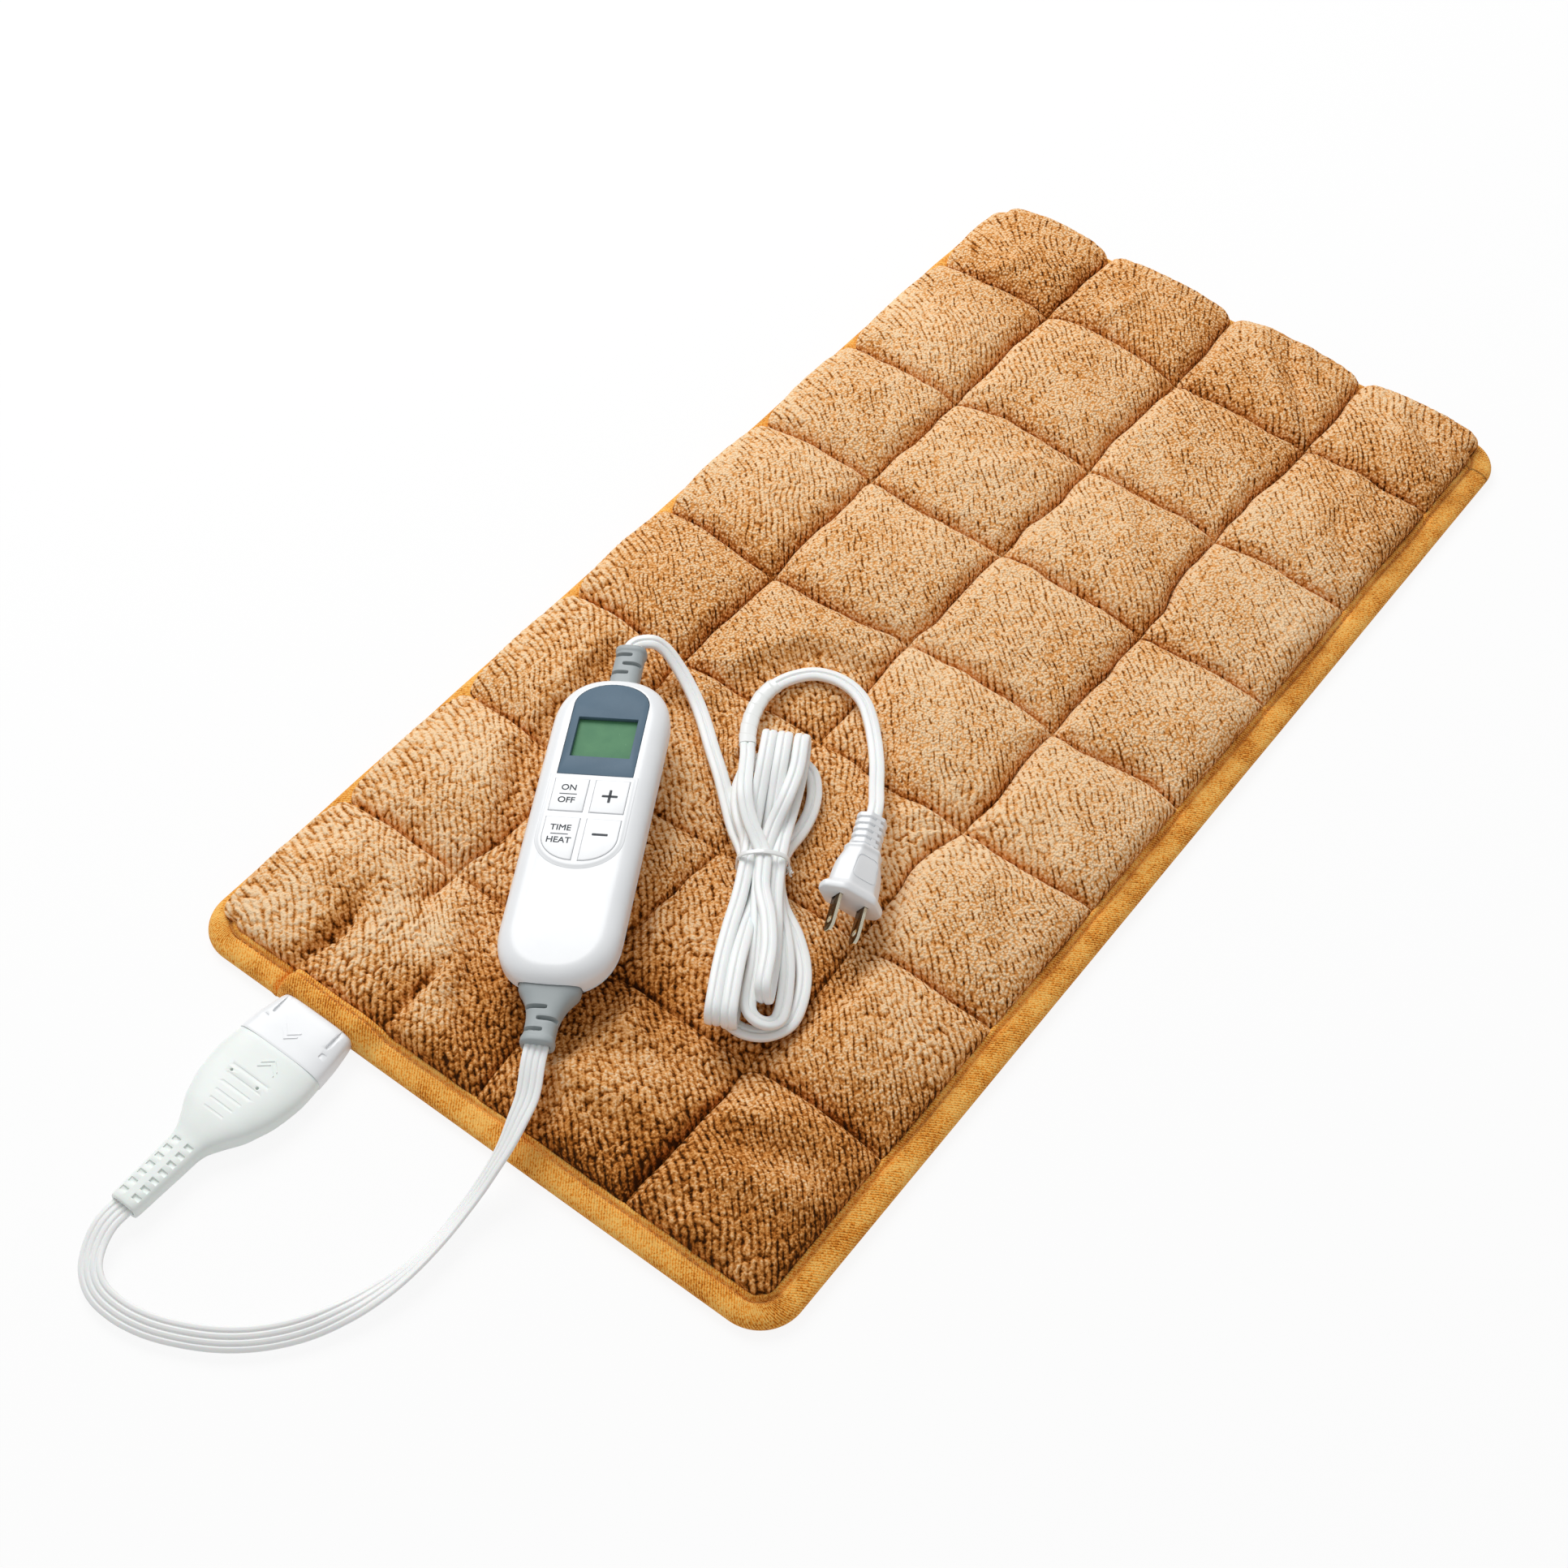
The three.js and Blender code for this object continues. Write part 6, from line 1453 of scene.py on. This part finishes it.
def make_lettering():
    for word, key, x, y in WORDS:
        letters = bpy.data.curves.new(f"word_{word}", "FONT")
        letters.body = word
        letters.align_x = "CENTER"
        letters.align_y = "CENTER"
        letters.size = LETTER_HEIGHT * SIZE_BY_HEIGHT
        letters.bevel_depth = 0.075
        letters.bevel_resolution = 1
        helper = bpy.data.objects.new("word", letters)
        bpy.context.collection.objects.link(helper)
        graph = bpy.context.evaluated_depsgraph_get()
        mesh = bpy.data.meshes.new_from_object(helper.evaluated_get(graph))
        bpy.data.objects.remove(helper)
        mesh.transform(Matrix.Translation((x, y, KEY_TOP + 0.02)))
        mesh.transform(CONTROLLER)
        mesh.transform(Matrix.Scale(MM, 4))
        piece = bpy.data.objects.new(f"word_{word}", mesh)
        bpy.context.collection.objects.link(piece)
        dress(piece, INK, f"{key}_key")
    for i, (key, x, y, wide, tall) in enumerate(BARS):
        bar = prism(superellipse(wide / 2, tall / 2, 12, 24) + (x, y), KEY_TOP - 0.01, KEY_TOP + 0.05)
        make_piece(f"printed_bar_{i + 1}", *bar, INK, f"{key}_key", "dark", CONTROLLER, sharp=40)


# Mains plug

CORNER_POWER = 34
PLUG_RIBS = 5
RIB_ROOT = 26.5
BLADE_PLACE = 6.35
BLADE_ROOT = 7
BLADE_SEAT = (0.95, 3.4)
# Nicks between the ribs: share of the pitch, half width, inner corner and outer reach
NICK_SHARE = 0.82
NICK_HALF = 0.45
NICK_CORNER = (2.2, 2.6)
NICK_REACH = 9
# Grip panel drawn on the top: its ends, half width and corner, then its line and the top that it is cut into
GRIP_PANEL = (8.4, 20.4, 5.4, 5)
PANEL_LINE = 0.22
PANEL_TAPER = 0.12
PANEL_TOP = 7.25
PANEL_FALL = 0.055
PANEL_FROM = 8
PANEL_DEPTH = 0.28
# Slope of the hexagon's sides, as shares of its half height and half width
SLOPE_FALL = 0.72
SLOPE_RUN = 0.5
# Body and flange of the plug: distance from its face, half width and half height
PLUG_STATIONS = (
    (26.6, 7.2, 5.6), (26.2, 8.3, 6.5), (25.6, 8.7, 6.8), (24.6, 8.7, 6.8), (24.1, 8.4, 6.5),
    (22.5, 8.8, 6.6), (19, 10.0, 6.9), (16, 10.8, 7.1), (12, 11.3, 7.2), (8, 11.6, 7.25),
    (6.2, 11.8, 7.3), (5.2, 12.2, 7.35), (4.5, 13.0, 7.5), (4.0, 14.0, 7.7), (3.4, 14.7, 7.9),
    (2.6, 15, 8), (0.9, 15, 8), (0.3, 14.8, 7.85), (0, 14.4, 7.5),
)
# One rib of the strain relief: share of its pitch, half width and half height
RIB_STATIONS = ((0.62, 7, 5.3), (0.7, 6.1, 4.4), (0.94, 6.1, 4.4))


def facet_section(half_x, half_z, count=96):
    """A rounded hexagon: a flat top and bottom, a slope on each side and blunt ends."""
    edges = [(0, 1, half_z), (0, -1, half_z), (1, 0, half_x), (-1, 0, half_x)]
    fall, run = SLOPE_FALL * half_z, SLOPE_RUN * half_x
    size = math.hypot(fall, run)
    reach = (fall * half_x + run * (1 - SLOPE_FALL) * half_z) / size
    for sx in (-1, 1):
        for sz in (-1, 1):
            edges.append((sx * fall / size, sz * run / size, reach))
    angle = (np.arange(count) + 0.5) / count * 2 * np.pi
    way = np.column_stack([half_x * np.cos(angle), half_z * np.sin(angle)])
    way /= np.linalg.norm(way, axis=1, keepdims=True)
    total = sum(np.maximum(way @ (nx, nz) / far, 0) ** CORNER_POWER for nx, nz, far in edges)
    return way * total[:, None] ** (-1 / CORNER_POWER)


def panel_groove(low, high, wide, corner):
    """A cutter shaped as a thin frame with rounded corners, laid on the plug's top."""
    half = (high - low) / 2
    outline = superellipse(wide, half, 5, 48)
    outline[:, 0] *= 1 - PANEL_TAPER * outline[:, 1] / half
    rings = []
    for inset, z in ((-PANEL_LINE, 0), (PANEL_LINE, 0), (PANEL_LINE, 4), (-PANEL_LINE, 4)):
        ring = outline * (1 - inset / corner) + (0, (low + high) / 2)
        top = PANEL_TOP - PANEL_FALL * (ring[:, 1] - PANEL_FROM) - PANEL_DEPTH
        rings.append(np.column_stack([ring, top + z]))
    faces = grid_faces(len(outline), len(rings), closed=True, joined=True)
    return np.stack(rings, axis=1).reshape(-1, 3), faces[:, ::-1]


def make_plug():
    pitch = (PLUG_TAIL - RIB_ROOT) / PLUG_RIBS
    stations = [(PLUG_TAIL, 6.2, 4.7)]
    for i in range(PLUG_RIBS):
        y = PLUG_TAIL - i * pitch
        stations.append((y - 0.3, 7, 5.3))
        stations += [(y - share * pitch, wide, tall) for share, wide, tall in RIB_STATIONS]
    stations += PLUG_STATIONS
    solid = loft([upright_ring(facet_section(half_x, half_z), y) for y, half_x, half_z in stations])
    body = make_piece("plug_moulding", *solid, WHITE, "lead_set", "shell", PLUG, sharp=50)
    cutters = []
    thick, wide = BLADE_SEAT
    for x in (-BLADE_PLACE, BLADE_PLACE):
        cutters.append(box_solid((x - thick, -3, -wide), (x + thick, BLADE_ROOT, wide)))
    inner_x, inner_z = NICK_CORNER
    for i in range(PLUG_RIBS):
        y = PLUG_TAIL - (i + NICK_SHARE) * pitch
        cutters.append(box_solid((inner_x, y - NICK_HALF, inner_z), (NICK_REACH, y + NICK_HALF, NICK_REACH)))
    cutters.append(panel_groove(*GRIP_PANEL))
    carve(body, cutters, PLUG, 50)
    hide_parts("mains_plug_body")
    spine = superellipse(1.0, (PLUG_TAIL - RIB_ROOT) / 2, 8, 24) + (0.6, (PLUG_TAIL + RIB_ROOT) / 2)
    make_piece("plug_rib_spine", *prism(spine, 3.6, 5.2), WHITE, "lead_set", "shell", PLUG, sharp=50)
    for name, x in (("left", -BLADE_PLACE), ("right", BLADE_PLACE)):
        make_blade(name, x)


# Outline of a blade: distance from the plug's face, and half its width
BLADE = ((BLADE_ROOT, 3.175), (-14.6, 3.175), (-16.4, 2.4), (-17.5, 1.4))
BLADE_HALF = 0.75
BLADE_HOLE = (-11.9, 1.6)


def make_blade(name, x):
    outline = np.array([(y, half) for y, half in BLADE] + [(y, -half) for y, half in BLADE[::-1]])
    hole = superellipse(BLADE_HOLE[1], BLADE_HOLE[1], 2, 24) + (BLADE_HOLE[0], 0)
    across = lambda points, half: loft([
        np.column_stack([np.full(len(points), at), points]) for at in (x - half, x + half)])
    solid = across(outline, BLADE_HALF)
    blade = make_piece(f"blade_{name}", *solid, BRASS, "lead_set", "brass", PLUG, sharp=40)
    carve(blade, [across(hole, 3)], PLUG)
    soften(blade, 0.2)
    # Painted highlight: faces that don't look across the blade get the bright rim share; the broad faces keep
    # the dark painted reflection.
    face_way = np.array(PLUG.to_3x3() @ Vector((1, 0, 0)))
    normals = np.array([polygon.normal for polygon in blade.data.polygons])
    painted_rim_highlight = blade.data.attributes.new("painted_rim_highlight", "FLOAT", "FACE")
    painted_rim_highlight.data.foreach_set("value", smoothstep(-np.abs(normals @ face_way), -0.97, -0.6).astype(np.float32))
    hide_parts(f"plug_blade_{name}")


# Paper-covered wire tie round the hank's waist: a dome over the runs, with its ends twisted on one side
TIE_DOME = ((-11.1, 13.2), (-11.1, 25.2), (-3, 28.9), (3, 28.9), (11.1, 25.2), (11.1, 13.2))
TIE_SLANT = 0.1
TIE_STEPS = 120
TIE_SOFT = 7
TAIL_START = (10.9, 0.6, 19.4)
TAIL_WAY = (0.5, -0.85, -0.25)
TAIL_LENGTH = 3.8
TAIL_TURNS = 3.5 * math.pi


def tie_point(u, v, z):
    return np.array((*hank_point(u, v, 0)[:2], z))


def tie_tail(strand):
    """One of the tie's two ends, twisted about the other and spread at its tip."""
    turns = np.linspace(0, TAIL_TURNS, 40)
    run = np.linspace(0, TAIL_LENGTH, 40)
    spread = 0.55 + 0.5 * smoothstep(turns, 2.6 * math.pi, TAIL_TURNS)
    u, v, z = [start + way * run for start, way in zip(TAIL_START, TAIL_WAY)]
    u = u + spread * np.cos(turns + strand) * 0.7
    v = v + spread * np.cos(turns + strand) * 0.5
    z = z + spread * np.sin(turns + strand)
    return sweep(np.array([tie_point(*spot) for spot in zip(u, v, z)]), superellipse(0.55, 0.4, 2, 10))


def make_tie():
    corners = np.array(TIE_DOME)
    outline = evenly(np.vstack([corners, corners[:1]]), TIE_STEPS + 1)[:-1]
    shifts = range(-TIE_SOFT, TIE_SOFT + 1)
    outline = sum(np.roll(outline, shift, axis=0) for shift in shifts) / len(shifts)
    ahead = np.roll(outline, -1, axis=0) - np.roll(outline, 1, axis=0)
    ahead /= np.linalg.norm(ahead, axis=1, keepdims=True)
    out = np.column_stack([-ahead[:, 1], ahead[:, 0]])
    strip = superellipse(1.1, 0.42, 4, 16)
    points = []
    for (u, z), (out_u, out_z) in zip(outline, out):
        for along, proud in strip:
            points.append(tie_point(u + out_u * proud, TIE_SLANT * u + along, z + out_z * proud))
    faces = grid_faces(len(outline), len(strip), closed=True, joined=True)[:, ::-1]
    tie = make_piece("hank_tie", points, faces, FILM, "lead_set", "film", sharp=50)
    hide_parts("twist_tie")
    tails = merge([tie_tail(strand) for strand in (0, math.pi)])
    make_piece("hank_tie_tail", *tails, FILM, "lead_set", "film", sharp=50)


FILM_WRAP = 7.0
FILM_PROUD = 0.3
FILM_GRID = 0.4
FILM_INSET = 2


def make_film():
    """Film wound round the cord on a slant, so that each turn's edge shows as a fine step."""
    low, high = np.array(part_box("cord_film"))[:, :2] / MM
    inside = np.all((mains_path[:, :2] > low + FILM_INSET) & (mains_path[:, :2] < high - FILM_INSET), axis=1)
    picked = np.nonzero(inside & (np.arange(len(mains_path)) > len(mains_path) // 2))[0]
    path = smooth_route(mains_path[picked[0]:picked[-1] + 1], FILM_GRID)
    oval = superellipse(JACKET_WIDTH / 2 + FILM_PROUD, JACKET_THICK / 2 + FILM_PROUD, 2.6, 36)
    points, faces = sweep(path, oval)
    rings = points.reshape(len(path), len(oval), 3)
    turn = np.arange(len(path))[:, None] * FILM_GRID / FILM_WRAP + np.arange(len(oval))[None, :] / len(oval)
    away = rings - path[:, None]
    away /= np.linalg.norm(away, axis=2, keepdims=True)
    points = (rings + away * (FILM_PROUD * (turn % 1.0))[..., None]).reshape(-1, 3)
    film = make_piece("cord_film_sleeve", points, faces, FILM, "lead_set", "film", sharp=35)
    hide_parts("cord_film")


plush = make_plush()
tape = make_binding()
stitches = make_stitches()
back = make_back()
make_socket()
connector, connector_arrows = make_connector()
connector_nose = make_nose()
make_controller()
make_keys()
make_lettering()
make_plug()
make_tie()
make_film()

# Inner pieces that the covers hide keep their solids, with a plain finish each
INNER = {
    "white_polyester_batting": ("#EFEDE6", "#E4E1D8", 0.95, ("batting", "element_carrier")),
    "red_silicone_insulation": ("#C8452E", "#B23A26", 0.5, ("heating_wire", "film_capacitor")),
    "black_component_moulding": ("#2A2B2D", "#202123", 0.5, (
        "thermal_cut_out_near", "thermal_cut_out_far", "microcontroller", "triac", "tact_switch_on_off",
        "tact_switch_plus", "tact_switch_time_heat", "tact_switch_minus")),
    "green_glass_laminate": ("#2F6B3F", "#275A35", 0.5, ("circuit_board",)),
    "clear_fuse_tube": ("#DFE7EA", "#D5DEE2", 0.12, ("fuse",)),
    "zinc_plated_steel": ("#B9BCBF", "#A9ACAF", 0.35, tuple(f"housing_screw_{i}" for i in range(1, 5))),
}
inner_finish = {f"{kind}_{i}": BRASS for kind in ("socket_pin", "connector_sleeve") for i in range(1, 5)}
for name, (base, low, roughness, covered) in INNER.items():
    inner_finish.update(dict.fromkeys(covered, moulded(name, base, low, roughness)))
for node, finish in inner_finish.items():
    nodes[node].data.materials.clear()
    nodes[node].data.materials.append(finish)


# Studio: white floor, soft sky and one large soft lamp from the left

FLOOR_GLOW = 0.88
FLOOR_HALF = 6
SKY_STRENGTH = 0.5
LAMP_POWER = 23
LAMP_SIZE = 1.1
LAMP_PLACE = (-1.15, 0.55, 1.35)
LAMP_AIM = Vector((0, -0.1, 0))


def make_floor():
    """Paper floor that takes the shadow; to the camera and in reflections it is mixed with white."""
    floor = bpy.data.meshes.new("studio_floor")
    corners = [(x * FLOOR_HALF, y * FLOOR_HALF, 0) for x, y in ((-1, -1), (1, -1), (1, 1), (-1, 1))]
    floor.from_pydata(corners, [], [(0, 1, 2, 3)])
    ground = bpy.data.objects.new("studio_floor", floor)
    bpy.context.collection.objects.link(ground)
    finish, tree, shader = new_material("white_paper_floor", {
        "Roughness": 0.95, "Base Color": srgb("#FAFAFA"), "Specular IOR Level": 0.0})
    seen = add(tree, "LightPath", out="Is Camera Ray")
    rays = seen.node.outputs
    for name in ("Is Glossy Ray", "Is Transmission Ray"):
        seen = add(tree, "Math", {0: seen, 1: rays[name]}, operation="MAXIMUM")
    share = add(tree, "Math", {0: seen, 1: FLOOR_GLOW}, operation="MULTIPLY")
    glow = add(tree, "Emission", {"Color": (1, 1, 1, 1), "Strength": 1.0})
    mixed = add(tree, "MixShader", {0: share, 1: shader.outputs[0], 2: glow})
    join(tree, tree.nodes["Material Output"], {"Surface": mixed})
    floor.materials.append(finish)


def make_studio():
    make_floor()
    world = bpy.data.worlds.new("soft_sky")
    bpy.context.scene.world = world
    world.use_nodes = True
    sky = world.node_tree.nodes["Background"].inputs
    sky["Color"].default_value = (1, 1, 1, 1)
    sky["Strength"].default_value = SKY_STRENGTH
    lamp = bpy.data.lights.new("soft_lamp", "AREA")
    lamp.energy = LAMP_POWER
    lamp.size = LAMP_SIZE
    lamp_object = bpy.data.objects.new("soft_lamp", lamp)
    lamp_object.location = LAMP_PLACE
    aim = LAMP_AIM - lamp_object.location
    lamp_object.rotation_euler = aim.to_track_quat("-Z", "Y").to_euler()
    bpy.context.collection.objects.link(lamp_object)
    bpy.context.scene.view_settings.view_transform = "Standard"


make_studio()
